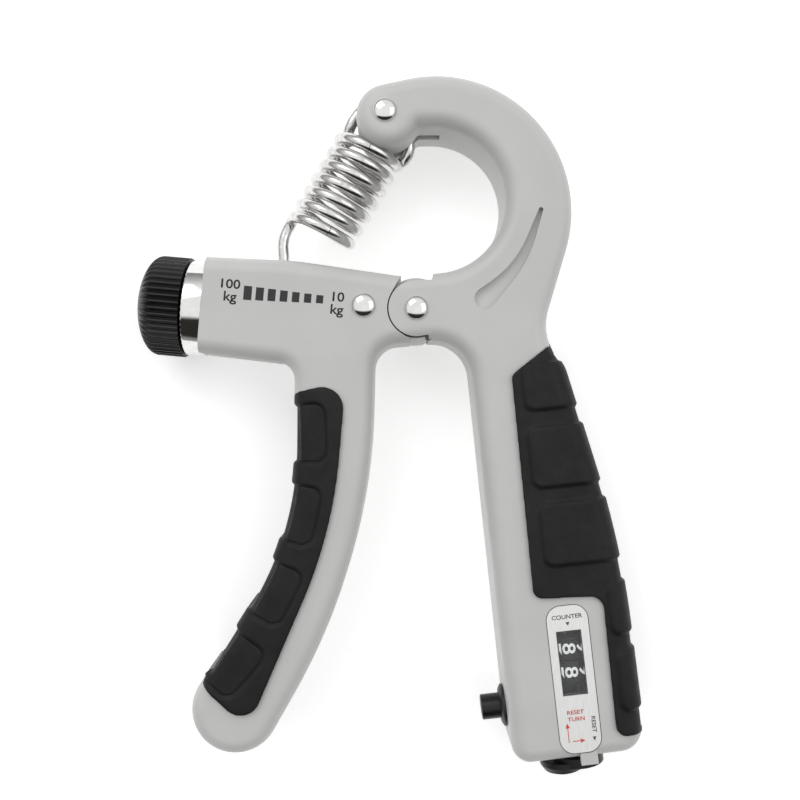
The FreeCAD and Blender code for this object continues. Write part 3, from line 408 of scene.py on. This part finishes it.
def smoothstep(low, high, value):
    share = min(1.0, max(0.0, (value - low) / (high - low)))
    return share * share * (3 - 2 * share)


# ---------------------------------------------------------------- rivets, ring, knob, plunger


RIVET_SHAFT = 0.6
RIVET_BACK_EDGE = 0.3
RIVET_LIP = 0.12
RIVET_DOME_STEPS = 18


def make_rivet(node, body):
    """Chrome rivet with a true dome in front and a flat, rounded head behind."""
    low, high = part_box(node)
    middle = Vector(((low.x + high.x) / 2, (low.y + high.y) / 2, 0))
    head = (high.x - low.x) / 2 / MM
    front = FRONT / MM
    rise = high.z / MM - front
    back = BACK / MM
    shaft = RIVET_SHAFT * head
    points = [Vector((0.0, 0.0))]
    points += rounded([(0.0, 0.0, 0), (0.0, head, RIVET_BACK_EDGE), (back, head, 0), (back, shaft, 0)])[1:]
    points += [Vector((front, shaft)), Vector((front, head)), Vector((front + RIVET_LIP, head))]
    for step in range(1, RIVET_DOME_STEPS + 1):
        turn = step / RIVET_DOME_STEPS * math.pi / 2
        along = front + RIVET_LIP + (rise - RIVET_LIP) * math.sin(turn)
        points.append(Vector((along, head * math.cos(turn))))
    piece = lathe(node + "_domed", middle, UP, points, 72, sharp_degrees=50)
    paint(piece, "chrome_trim")
    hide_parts(node)
    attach(piece, body)


def along_barrel(node):
    """How far out along the barrel a node starts and ends, in millimetres."""
    spans = [(Vector(vertex.co) - BARREL_FOOT).dot(BARREL_OUT) for vertex in NODES[node].data.vertices]
    return min(spans) / MM, max(spans) / MM


def reach_from(node, origin, axis):
    """A node's largest radius about an axis, in millimetres."""
    most = 0.0
    for vertex in NODES[node].data.vertices:
        offset = Vector(vertex.co) - origin
        most = max(most, (offset - axis * offset.dot(axis)).length)
    return most / MM


COLLAR_WALL = 2.15
COLLAR_LIP_LENGTH = 4.6
COLLAR_STEP = 1.3


def make_collar():
    """Bright ring: a rounded outer lip, and a thinner sleeve that goes into the barrel."""
    start, end = along_barrel("collar_ring")
    outer = reach_from("collar_ring", BARREL_FOOT, BARREL_OUT)
    bore = outer - COLLAR_WALL
    sleeve = outer - COLLAR_STEP
    lip = end - COLLAR_LIP_LENGTH
    profile = rounded([
        (start, bore, 0), (end, bore, 0.35), (end, outer, 0.5), (lip, outer, 0.12),
        (lip, sleeve, 0), (start, sleeve, 0), (start, bore, 0),
    ])
    piece = lathe("collar_ring_polished", BARREL_FOOT, BARREL_OUT, profile, 128, sharp_degrees=40)
    paint(piece, "chrome_trim")
    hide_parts("collar_ring")
    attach(piece, "lever")


KNOB_RIBS = 48
RIB_DEPTH = 0.62
POINTS_PER_RIB = 10
KNOB_PLUG_LENGTH = 4.0
KNOB_PLUG_STEP = 3.1
KNOB_SHOULDER = 59.0
KNOB_DOME = 5.0
KNOB_SKIRT_STEPS = 8
KNOB_DOME_STEPS = 26


def make_knob():
    """Ribbed black knob: the ribs run out onto the shoulder and fade into the dome."""
    start, _ = along_barrel("tension_knob")
    outer = reach_from("tension_knob", BARREL_FOOT, BARREL_OUT)
    rim = start + KNOB_PLUG_LENGTH
    plug = outer - KNOB_PLUG_STEP
    points = rounded([(start, 0, 0), (start, plug, 0.3), (rim, plug, 0.1), (rim, outer - 0.35, 0)])
    points.append(Vector((rim, outer)))
    for step in range(1, KNOB_SKIRT_STEPS + 1):
        points.append(Vector((rim + (KNOB_SHOULDER - rim) * step / KNOB_SKIRT_STEPS, outer)))
    for step in range(1, KNOB_DOME_STEPS + 1):
        turn = step / KNOB_DOME_STEPS * math.pi / 2
        points.append(Vector((KNOB_SHOULDER + KNOB_DOME * math.sin(turn), outer * math.cos(turn))))
    fade_from, fade_to = KNOB_SHOULDER + 0.3 * KNOB_DOME, KNOB_SHOULDER + 0.7 * KNOB_DOME

    def ribs(along, angle):
        if along < rim - 0.05:
            return 0.0
        groove = 0.5 - 0.5 * math.cos(KNOB_RIBS * angle)
        return -RIB_DEPTH * groove ** 1.5 * (1 - smoothstep(fade_from, fade_to, along))

    piece = lathe("tension_knob_ribbed", BARREL_FOOT, BARREL_OUT, points,
                  KNOB_RIBS * POINTS_PER_RIB, ribs, 50)
    paint(piece, "knob_plastic")
    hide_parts("tension_knob")
    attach(piece, "knob_and_screw")


STEM_RADIUS = 1.8
FLANGE_RADIUS = 3.95
FLANGE_FROM, FLANGE_TO = -3.2, -2.4
BUTTON_RADIUS = 2.85
BUTTON_DISH = 0.25
BEZEL_BORE = 2.95
BEZEL_FOOT, BEZEL_TOP = 0.05, 1.2
BEZEL_RADIUS = 4.75


def make_plunger():
    """Button with a dished end, a flange that holds it in, and its rounded bezel."""
    origin, out = plunger_origin(), -PRESS_IN
    reaches = [(Vector(v.co) - origin).dot(out) / MM for v in NODES["count_plunger"].data.vertices]
    tail, reach = min(reaches), max(reaches)
    profile = rounded([
        (tail, 0, 0), (tail, STEM_RADIUS, 0.2), (FLANGE_FROM, STEM_RADIUS, 0),
        (FLANGE_FROM, FLANGE_RADIUS, 0.2), (FLANGE_TO, FLANGE_RADIUS, 0.2), (FLANGE_TO, BUTTON_RADIUS, 0),
        (reach, BUTTON_RADIUS, 0.7), (reach - BUTTON_DISH, 1.9, 0.5), (reach - BUTTON_DISH, 0, 0),
    ])
    piece = lathe("count_plunger_button", origin, out, profile, 72, sharp_degrees=45)
    paint(piece, "knob_plastic")
    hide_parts("count_plunger")
    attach(piece, "plunger")
    ring = rounded([
        (BEZEL_FOOT, BEZEL_BORE, 0), (BEZEL_TOP, BEZEL_BORE, 0.2), (BEZEL_TOP, 3.7, 0.5),
        (0.6, BEZEL_RADIUS, 0.3), (BEZEL_FOOT, BEZEL_RADIUS, 0), (BEZEL_FOOT, BEZEL_BORE, 0),
    ])
    bezel = lathe("plunger_bezel_moulded", origin, out, ring, 72, sharp_degrees=45)
    paint(bezel, "drum_plastic")
    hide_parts("plunger_bezel")
    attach(bezel, "counter_handle")


def plunger_origin():
    """Where the plunger's axis meets the handle's side."""
    low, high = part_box("plunger_bezel")
    middle = (low + high) / 2
    ring = [Vector(vertex.co) for vertex in NODES["plunger_bezel"].data.vertices]
    inner = max((point - middle).dot(PRESS_IN) for point in ring)
    return middle + PRESS_IN * (inner + BEZEL_FOOT * MM)


# ---------------------------------------------------------------- spring


def spring_point(along, side, up):
    """A point in the spring's own frame: down from the anchor pin, to its right, and up, in millimetres."""
    return SPRING_TOP + (SPRING_DOWN * along + SPRING_SIDE * side + UP * up) * MM


def arc_between(centre, radius, start, end, steps):
    """Points on an in-plane circle of the spring's frame; angles in degrees from its down direction."""
    points = []
    for step in range(steps + 1):
        angle = math.radians(start + (end - start) * step / steps)
        along = centre[0] + radius * math.cos(angle)
        points.append(Vector((along, centre[1] + radius * math.sin(angle), 0)))
    return points


def relaxed(points, passes, fixed):
    """Neighbour averaging that leaves the listed points alone."""
    for _ in range(passes):
        moved = list(points)
        for index in range(1, len(points) - 1):
            if index not in fixed:
                moved[index] = (points[index - 1] + points[index] * 2 + points[index + 1]) / 4
        points = moved
    return points


def evenly(points, spacing):
    """The same line with points at an even spacing."""
    result = [points[0]]
    carried = 0.0
    for before, after in zip(points, points[1:]):
        length = (after - before).length
        while carried + length >= spacing:
            share = (spacing - carried) / length
            before = before.lerp(after, share)
            length = (after - before).length
            result.append(before)
            carried = 0.0
        carried += length
    result.append(points[-1])
    return result


COIL_TURNS = 6
COIL_STEPS = 56
WIRE_SIDES = 24
WIRE_SPACING = 0.45
LOOP_HEIGHT = 1.2
LOOP_SQUASH = 0.66
LOOP_KEPT = 14
HOOK_KEPT = 18
HOOK_LEAVES = 3
HOOK_REACH = 9.0
RIGID_LENGTH = 1.5
BLEND_EARLY = 1


def make_spring():
    """One continuous wire, cut where its four bodies meet."""
    wire = reach_wire()
    radius = coil_radius() - wire
    low, high = coil_span()
    pitch = (high - low) / COIL_TURNS
    helix = []
    for step in range(-COIL_STEPS // 2, COIL_TURNS * COIL_STEPS + 1):
        angle = 2 * math.pi * step / COIL_STEPS
        along = low + pitch * step / COIL_STEPS
        helix.append(Vector((along, -radius * math.cos(angle), -radius * math.sin(angle))))
    first = low - pitch / 2
    free_end = [Vector((first + 0.2, 1.6 - radius, -3.4)), Vector((first - 0.6, 0.5 - radius, -1.2))]
    leg_left = [Vector((5.0, 0.3 - radius, 0)), Vector((3.0, 0.3 - radius, 0))]
    over = arc_between((LOOP_HEIGHT, 0.0), radius - 0.4, 270, 90, 24)
    over = [Vector((LOOP_HEIGHT + (point.x - LOOP_HEIGHT) * LOOP_SQUASH, point.y, 0)) for point in over]
    leg_right = [
        Vector((0.9, radius - 0.2, 0)), Vector((2.3, radius + 0.9, -0.2)), Vector((4.2, radius + 1.2, -0.8)),
        Vector((5.9, radius + 0.6, -1.6)), Vector((first - 0.5, radius + 0.05, -1.5)),
    ]
    top = evenly(free_end + leg_left + over + leg_right, WIRE_SPACING)
    top = relaxed(top + helix[:LOOP_KEPT], 16, set(range(len(top), len(top) + LOOP_KEPT)))
    half = (COIL_TURNS + 1) * COIL_STEPS // 2
    upper = helix[LOOP_KEPT - 1:half + 1]
    lower = helix[half:1 - HOOK_KEPT]
    pin = pin_spot()
    hook = [
        Vector((high + 0.2, -radius + 0.3, 0.5)),
        Vector((high + 2.0, -radius + 0.1, 0)),
        Vector((high + 4.4, -radius + 0.2, 0)),
        Vector((high + 7.0, -radius + 1.2, 0)),
        Vector((high + HOOK_REACH, -radius + 3.0, 0)),
        Vector((pin.x - 1.0, pin.y - 2.6, 0)),
        Vector((pin.x + 1.2, pin.y - 2.5, 0)),
        Vector((pin.x + 2.7, pin.y - 0.9, 0)),
        Vector((pin.x + 2.7, pin.y + 1.0, 0)),
        Vector((pin.x + 1.4, pin.y + 2.5, 0)),
        Vector((pin.x - 1.0, pin.y + 2.7, 0)),
    ]
    lead = helix[-HOOK_KEPT:-HOOK_LEAVES]
    bent = evenly([helix[-HOOK_LEAVES]] + hook, WIRE_SPACING)
    bottom = relaxed(lead + bent, 14, set(range(len(lead))))

    def placed(points):
        return [spring_point(*point) for point in points]

    top.reverse()
    loop = sweep("spring_loop_wire", placed(top), wire * MM, False)
    coil_a = sweep("spring_coil_wire_upper", placed(upper), wire * MM, True)
    coil_b = sweep("spring_coil_wire_lower", placed(lower), wire * MM, True)
    tail = sweep("spring_hook_wire", placed(bottom), wire * MM, False)
    for piece, node in ((loop, "spring_upper_loop"), (coil_a, "spring_coil_upper"),
                        (coil_b, "spring_coil_lower"), (tail, "spring_lower_hook")):
        paint(piece, "spring_steel")
        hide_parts(node)
    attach(loop, "spring_top")
    middle = (low + high) / 2
    rigid, early = RIGID_LENGTH, BLEND_EARLY
    for piece, start, end, reach in (
        (coil_a, "spring_top", "spring_middle", (low + rigid - early, middle - rigid)),
        (coil_b, "spring_middle", "spring_low", (middle + rigid, high - rigid - early)),
        (tail, "spring_low", "spring_hook", (high + rigid - early, high + HOOK_REACH)),
    ):
        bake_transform(piece)


def spring_frame(node):
    """A node's vertices as (along, side, up) in the spring's frame, in millimetres."""
    found = []
    for vertex in NODES[node].data.vertices:
        offset = (Vector(vertex.co) - SPRING_TOP) / MM
        found.append(Vector((offset.dot(SPRING_DOWN), offset.dot(SPRING_SIDE), offset.z)))
    return found


def reach_wire():
    """The wire's radius: half the upper loop's thickness."""
    low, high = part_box("spring_upper_loop")
    return (high.z - low.z) / 2 / MM


def coil_radius():
    return max(abs(point.z) for point in spring_frame("spring_coil_upper"))


def coil_span():
    """Where the coil's centre line starts and ends along the spring."""
    wire = reach_wire()
    first = min(point.x for point in spring_frame("spring_coil_upper"))
    last = max(point.x for point in spring_frame("spring_coil_lower"))
    return first + wire, last - wire


def pin_spot():
    """The hook pin in the spring's frame, in millimetres."""
    low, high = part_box("hook_pin")
    offset = ((low + high) / 2 - SPRING_TOP) / MM
    return Vector((offset.dot(SPRING_DOWN), offset.dot(SPRING_SIDE), 0))


# ---------------------------------------------------------------- grips


def remeshed(node, name, voxel):
    """A fine even copy of a CAD node's mesh, lightly smoothed, for shaping in code."""
    piece = bpy.data.objects.new(name, NODES[node].data.copy())
    bpy.context.scene.collection.objects.link(piece)
    tidy_normals(piece)
    remesh = piece.modifiers.new("even", "REMESH")
    remesh.mode = "VOXEL"
    remesh.voxel_size = voxel
    smooth = piece.modifiers.new("soft", "SMOOTH")
    smooth.factor = 0.5
    smooth.iterations = 6
    seen = piece.evaluated_get(bpy.context.evaluated_depsgraph_get())
    mesh = bpy.data.meshes.new_from_object(seen)
    piece.modifiers.clear()
    piece.data = mesh
    mesh.shade_smooth()
    return piece


def push(piece, depth_at):
    """Move each vertex along its normal by depth_at(its place in millimetres), in millimetres."""
    mesh = piece.data
    normals = [Vector(vertex.normal) for vertex in mesh.vertices]
    for vertex, normal in zip(mesh.vertices, normals):
        depth = depth_at(Vector(vertex.co) / MM)
        if depth:
            vertex.co = Vector(vertex.co) + normal * depth * MM
    mesh.update()


def rounded_box(x, y, half_x, half_y, corner):
    """Signed distance to a rounded rectangle."""
    dx = abs(x) - half_x + corner
    dy = abs(y) - half_y + corner
    outside = math.hypot(max(dx, 0), max(dy, 0))
    return outside + min(max(dx, dy), 0) - corner


GRIP_VOXEL = 0.42 * MM
RELIEF_EDGE = 0.4
RECESS_DEPTH = 0.7
LEVER_BEND = (Vector((-97.4, -30.0)), 70.0)
FINGER_PITCH = 17.3
FINGER_HALF = 6.2
FINGER_CORNER = 2.6
FIRST_FINGER = -2.1
FINGER_WIDTHS = (7.6, 7.4, 8.3, 9.6)
PAST_THE_EDGE = 12


def lever_relief(point):
    """Four finger recesses that open to the lever's outer side."""
    centre, radius = LEVER_BEND
    offset = Vector((point.x, point.y)) - centre
    across = offset.length - radius
    along = -math.atan2(offset.y, offset.x) * radius
    depth = 0.0
    for finger, width in enumerate(FINGER_WIDTHS):
        middle = FIRST_FINGER + FINGER_PITCH * finger
        reach = width + PAST_THE_EDGE
        gap = rounded_box(along - middle, across - width + reach, FINGER_HALF, reach, FINGER_CORNER)
        depth = max(depth, 1 - smoothstep(-RELIEF_EDGE, RELIEF_EDGE, gap))
    return -RECESS_DEPTH * depth


PAD_RISE = 0.65
PAD_SINK = 0.15
PAD_LEAN = math.radians(6.0)
PAD_REACH = 30.0
PAD_CORNER = 2.2

# left end, top and bottom of each pad, in millimetres
PALM_PADS = (
    (23.4, -12.6, -22.9),
    (25.0, -26.6, -40.0),
    (27.6, -43.4, -57.2),
    (42.4, -60.8, -72.2),
    (44.6, -75.6, -89.0),
)


def palm_relief(point):
    """Raised pads that run off the counter handle's outer side."""
    rise = 0.0
    for left, top, bottom in PALM_PADS:
        middle = (top + bottom) / 2
        x, y = point.x - left, point.y - middle
        along = y * math.cos(PAD_LEAN) - x * math.sin(PAD_LEAN)
        across = x * math.cos(PAD_LEAN) + y * math.sin(PAD_LEAN)
        gap = rounded_box(across - PAD_REACH, along, PAD_REACH, (top - bottom) / 2, PAD_CORNER)
        rise = max(rise, 1 - smoothstep(-RELIEF_EDGE, RELIEF_EDGE, gap))
    return PAD_RISE * rise - PAD_SINK


def make_grips():
    left = remeshed("left_grip", "lever_grip_moulded", GRIP_VOXEL)
    push(left, lever_relief)
    right = remeshed("right_grip", "palm_grip_moulded", GRIP_VOXEL)
    push(right, palm_relief)
    for piece, node, body in ((left, "left_grip", "lever"), (right, "right_grip", "counter_handle")):
        paint(piece, "grip_rubber")
        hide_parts(node)
        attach(piece, body)


# ---------------------------------------------------------------- prints


INK_LIFT = 0.02
INK_THICK = 0.015


def words(text, height, name):
    """Built-in lettering as a mesh, centred on the origin, height millimetres tall."""
    curve = bpy.data.curves.new(name, "FONT")
    curve.body = text
    curve.align_x = "CENTER"
    curve.align_y = "CENTER"
    curve.offset = 0.014
    curve.resolution_u = 6
    holder = bpy.data.objects.new(name + "_line", curve)
    bpy.context.scene.collection.objects.link(holder)
    seen = holder.evaluated_get(bpy.context.evaluated_depsgraph_get())
    mesh = bpy.data.meshes.new_from_object(seen)
    bpy.data.objects.remove(holder)
    across = [vertex.co.x for vertex in mesh.vertices]
    upward = [vertex.co.y for vertex in mesh.vertices]
    tall = max(upward) - min(upward)
    middle_x = (max(across) + min(across)) / 2
    middle_y = (max(upward) + min(upward)) / 2
    for vertex in mesh.vertices:
        centred = Vector((vertex.co.x - middle_x, vertex.co.y - middle_y, 0))
        vertex.co = centred * (height * MM / tall)
    return mesh


def ink(mesh, name, origin, right, up, material, body, squeeze=1.0):
    """Lay a flat mesh on a face as a thin print."""
    out = right.cross(up).normalized()
    work = bmesh.new()
    work.from_mesh(mesh)
    bmesh.ops.remove_doubles(work, verts=work.verts, dist=1e-7)
    thick = bmesh.ops.extrude_face_region(work, geom=work.faces[:])
    raised = [item for item in thick["geom"] if isinstance(item, bmesh.types.BMVert)]
    bmesh.ops.translate(work, verts=raised, vec=(0, 0, INK_THICK * MM))
    bmesh.ops.recalc_face_normals(work, faces=work.faces)
    work.to_mesh(mesh)
    work.free()
    for vertex in mesh.vertices:
        flat = right * vertex.co.x * squeeze + up * vertex.co.y
        vertex.co = origin + flat + out * (vertex.co.z + INK_LIFT * MM)
    piece = bpy.data.objects.new(name, mesh)
    bpy.context.scene.collection.objects.link(piece)
    paint(piece, material)
    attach(piece, body)
    return piece


def polygon_mesh(name, corners):
    mesh = bpy.data.meshes.new(name)
    mesh.from_pydata([(x * MM, y * MM, 0) for x, y in corners], [], [tuple(range(len(corners)))])
    return mesh


def bar_mesh(name, width, height):
    return polygon_mesh(name, [(-width / 2, -height / 2), (width / 2, -height / 2),
                               (width / 2, height / 2), (-width / 2, height / 2)])


def on_barrel(along, rise):
    point = BARREL_FOOT + (BARREL_OUT * along + BARREL_UP * rise) * MM
    return Vector((point.x, point.y, FRONT))


def make_scale():
    """Pad-printed tension scale: seven bars between the two end values."""
    right = -BARREL_OUT
    bars = 7
    for index in range(bars):
        share = index / (bars - 1)
        bar = bar_mesh("scale_bar_%d" % index, 1.8 - 0.25 * share, 3.1 - 1.3 * share)
        ink(bar, "scale_bar_%d" % index, on_barrel(37.8 - 16.0 * share, 3.6), right, BARREL_UP,
            "black_ink", "lever")
    labels = (
        ("100", 41.7, 5.3, 2.05, 1.16), ("kg", 41.6, 2.2, 2.85, 1.08),
        ("10", 17.7, 4.5, 2.1, 1.12), ("kg", 17.8, 1.35, 2.85, 1.08),
    )
    for index, (text, along, rise, tall, squeeze) in enumerate(labels):
        name = "scale_value_%d" % index
        ink(words(text, tall, name), name, on_barrel(along, rise), right, BARREL_UP,
            "black_ink", "lever", squeeze)


PLATE_UP = -SHAFT_OUT
PLATE_RIGHT = PLATE_UP.cross(UP)


def on_plate(right, up):
    point = SHAFT_MIDDLE + (PLATE_RIGHT * right + PLATE_UP * up) * MM
    return Vector((point.x, point.y, FRONT))


def plate_ring(name, grow, width):
    """Thin closed band that follows the label plate's rounded outline."""
    half_x, half_y, corner, shift, steps = 4.7, 16.5, 3.3, 3.6, 8
    outline = []
    for sx, sy, start in ((1, 1, 0), (-1, 1, 90), (-1, -1, 180), (1, -1, 270)):
        for step in range(steps + 1):
            angle = math.radians(start + 90 * step / steps)
            outline.append((sx * (half_x - corner), sy * (half_y - corner) - shift, angle))
    inner_reach = corner + grow
    outer_reach = corner + grow + width
    points = [(x + reach * math.cos(angle), y + reach * math.sin(angle))
              for reach in (inner_reach, outer_reach) for x, y, angle in outline]
    count = len(outline)
    faces = []
    for index in range(count):
        after = (index + 1) % count
        faces.append((index, index + count, after + count, after))
    mesh = bpy.data.meshes.new(name)
    mesh.from_pydata([(x * MM, y * MM, 0) for x, y in points], [], faces)
    return mesh


def make_label_prints():
    """Generic words and turning arrows round the counter window."""

    def lay(mesh, name, right, up, material, squeeze=1.0):
        ink(mesh, name, on_plate(right, up), PLATE_RIGHT, PLATE_UP, material, "counter_handle", squeeze)

    lay(plate_ring("plate_outline", -0.12, 0.16), "plate_outline", 0, 0, "grey_ink")
    lay(words("COUNTER", 0.95, "word_counter"), "word_counter", 0, 10.3, "grey_ink", 1.1)
    stem, barb, tip = 0.09, 0.5, 0.4
    marks = (
        ("mark_down", [(0.45, 0.4), (0, -0.4), (-0.45, 0.4)], 0, 8.7, "grey_ink"),
        ("arrow_up", [(-stem, -2.3), (stem, -2.3), (stem, 0.9), (barb, 0.9), (0, 2.0), (-barb, 0.9),
                      (-stem, 0.9)], -2.6, -15.2, "red_ink"),
        ("arrow_right", [(-1.3, -stem), (0.5, -stem), (0.5, -barb), (1.5, 0), (0.5, barb), (0.5, stem),
                         (-1.3, stem)], -0.5, -17.3, "red_ink"),
        ("arrow_side", [(-tip, 0.5), (0, -0.5), (tip, 0.5)], 3.1, -17.2, "grey_ink"),
    )
    for name, corners, right, up, material in marks:
        lay(polygon_mesh(name, corners), name, right, up, material)
    lay(words("RESET", 0.9, "word_reset"), "word_reset", -0.5, -10.9, "red_ink", 1.15)
    lay(words("TURN", 0.9, "word_turn"), "word_turn", -0.5, -12.4, "red_ink", 1.15)
    ink(words("RESET", 0.9, "word_side"), "word_side", on_plate(3.3, -14.0), -PLATE_UP, PLATE_RIGHT,
        "grey_ink", "counter_handle", 1.1)


DIGIT_TALL = 3.0
DIGIT_SQUEEZE = 1.25
DIGIT_SPACING = math.radians(36)
REST_DIGIT = 8


def make_digits():
    """White numbers round both drums, which rest with REST_DIGIT in the window."""
    radius = reach_from("units_drum", SHAFT_MIDDLE, SHAFT_OUT)
    for node, body in (("units_drum", "units_counter"), ("tens_drum", "tens_counter")):
        spans = [(Vector(v.co) - SHAFT_MIDDLE).dot(SHAFT_OUT) for v in NODES[node].data.vertices]
        middle = (min(spans) + max(spans)) / 2
        for digit in range(10):
            name = "%s_digit_%d" % (node, digit)
            mesh = words(str(digit), DIGIT_TALL, name)
            turn = (digit - REST_DIGIT) * DIGIT_SPACING
            for vertex in mesh.vertices:
                angle = turn + vertex.co.y / (radius * MM)
                reach = (radius + INK_LIFT) * MM
                around = UP * math.cos(angle) + PLATE_RIGHT * math.sin(angle)
                outward = SHAFT_OUT * (middle + vertex.co.x * DIGIT_SQUEEZE)
                vertex.co = SHAFT_MIDDLE + outward + around * reach
            piece = bpy.data.objects.new(name, mesh)
            bpy.context.scene.collection.objects.link(piece)
            solid = piece.modifiers.new("ink", "SOLIDIFY")
            solid.thickness = INK_THICK * MM
            # The white digits glow: painted light from the white_ink material's emission.
            paint(piece, "white_ink")
            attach(piece, body)


# ---------------------------------------------------------------- stage


def area_light(name, place, aim, power, width, height):
    data = bpy.data.lights.new(name, "AREA")
    data.shape = "RECTANGLE"
    data.size = width
    data.size_y = height
    data.energy = power
    light = bpy.data.objects.new(name, data)
    light.location = place
    light.rotation_euler = (Vector(aim) - Vector(place)).to_track_quat("-Z", "Y").to_euler()
    bpy.context.scene.collection.objects.link(light)


WORLD_LEVELS = [(0.0, 0.26), (0.15, 0.34), (0.4, 0.62), (0.65, 0.96), (1.0, 1.0)]
DARK_TOWARD = (-0.03, -0.80, 0.60)


def fill_ramp(node, levels):
    while len(node.color_ramp.elements) < len(levels):
        node.color_ramp.elements.new(0.5)
    for element, (position, level) in zip(node.color_ramp.elements, levels):
        element.position = position
        element.color = (level, level, level, 1)


def make_world():
    """Bright soft ceiling, grey walls, and one dark area toward the near side for the metal to mirror."""
    world = bpy.data.worlds.new("studio")
    bpy.context.scene.world = world
    world.use_nodes = True
    nodes, links = world.node_tree.nodes, world.node_tree.links
    place = nodes.new("ShaderNodeTexCoord").outputs["Generated"]
    split = nodes.new("ShaderNodeSeparateXYZ")
    links.new(place, split.inputs["Vector"])
    ceiling = nodes.new("ShaderNodeValToRGB")
    links.new(split.outputs["Z"], ceiling.inputs["Fac"])
    fill_ramp(ceiling, WORLD_LEVELS)
    squeeze = nodes.new("ShaderNodeVectorMath")
    squeeze.operation = "MULTIPLY"
    squeeze.inputs[1].default_value = (0.4, 1, 1)
    links.new(place, squeeze.inputs[0])
    unit = nodes.new("ShaderNodeVectorMath")
    unit.operation = "NORMALIZE"
    links.new(squeeze.outputs[0], unit.inputs[0])
    aim = nodes.new("ShaderNodeVectorMath")
    aim.operation = "DOT_PRODUCT"
    links.new(unit.outputs[0], aim.inputs[0])
    aim.inputs[1].default_value = Vector(DARK_TOWARD).normalized()
    patch = nodes.new("ShaderNodeMapRange")
    patch.interpolation_type = "SMOOTHSTEP"
    patch.inputs["From Min"].default_value = 0.84
    patch.inputs["From Max"].default_value = 0.93
    links.new(aim.outputs["Value"], patch.inputs["Value"])
    mixed = nodes.new("ShaderNodeMix")
    mixed.data_type = "RGBA"
    mixed.inputs[7].default_value = (0.03, 0.028, 0.025, 1)
    links.new(patch.outputs["Result"], mixed.inputs[0])
    links.new(ceiling.outputs["Color"], mixed.inputs[6])
    links.new(mixed.outputs[2], nodes["Background"].inputs["Color"])
    nodes["Background"].inputs["Strength"].default_value = 1.0


FLOOR_HALF = 3
FLOOR_GAP = 0.2


def make_stage():
    make_world()
    corners = [(-FLOOR_HALF, -FLOOR_HALF, 0), (FLOOR_HALF, -FLOOR_HALF, 0),
               (FLOOR_HALF, FLOOR_HALF, 0), (-FLOOR_HALF, FLOOR_HALF, 0)]
    floor = piece_from("studio_floor", corners, [(0, 1, 2, 3)])
    floor.location.z = CAD_BOX[0].z - FLOOR_GAP * MM
    floor.data.materials.append(floor_material())
    area_light("key", (-0.35, 0.55, 0.75), (0, -0.02, 0), 1.6, 0.5, 0.5)
    area_light("fill", (0.6, 0.1, 0.7), (0, -0.02, 0), 0.7, 0.6, 0.6)


CAMERA_PLACE = (-3.63, -20.41, 215)
CAMERA_LENS = 41.52
SENSOR_WIDTH = 36.0


def make_camera():
    """Straight down onto the front face, its height counted from mid-thickness."""
    data = bpy.data.cameras.new("camera")
    data.sensor_width = SENSOR_WIDTH
    data.lens = CAMERA_LENS
    data.clip_start = 0.01
    camera = bpy.data.objects.new("camera", data)
    x, y, height = CAMERA_PLACE
    camera.location = (x * MM, y * MM, MID_HEIGHT + height * MM)
    bpy.context.scene.collection.objects.link(camera)
    bpy.context.scene.camera = camera


bpy.context.scene.view_settings.view_transform = "Standard"
make_stage()
make_camera()
paint_cad_nodes()
for rivet_node, rivet_body in (("pivot_rivet", "counter_handle"), ("lever_rivet", "lever"),
                               ("anchor_rivet", "counter_handle")):
    make_rivet(rivet_node, rivet_body)
make_collar()
make_knob()
make_plunger()
make_spring()
make_grips()
make_scale()
make_label_prints()
make_digits()
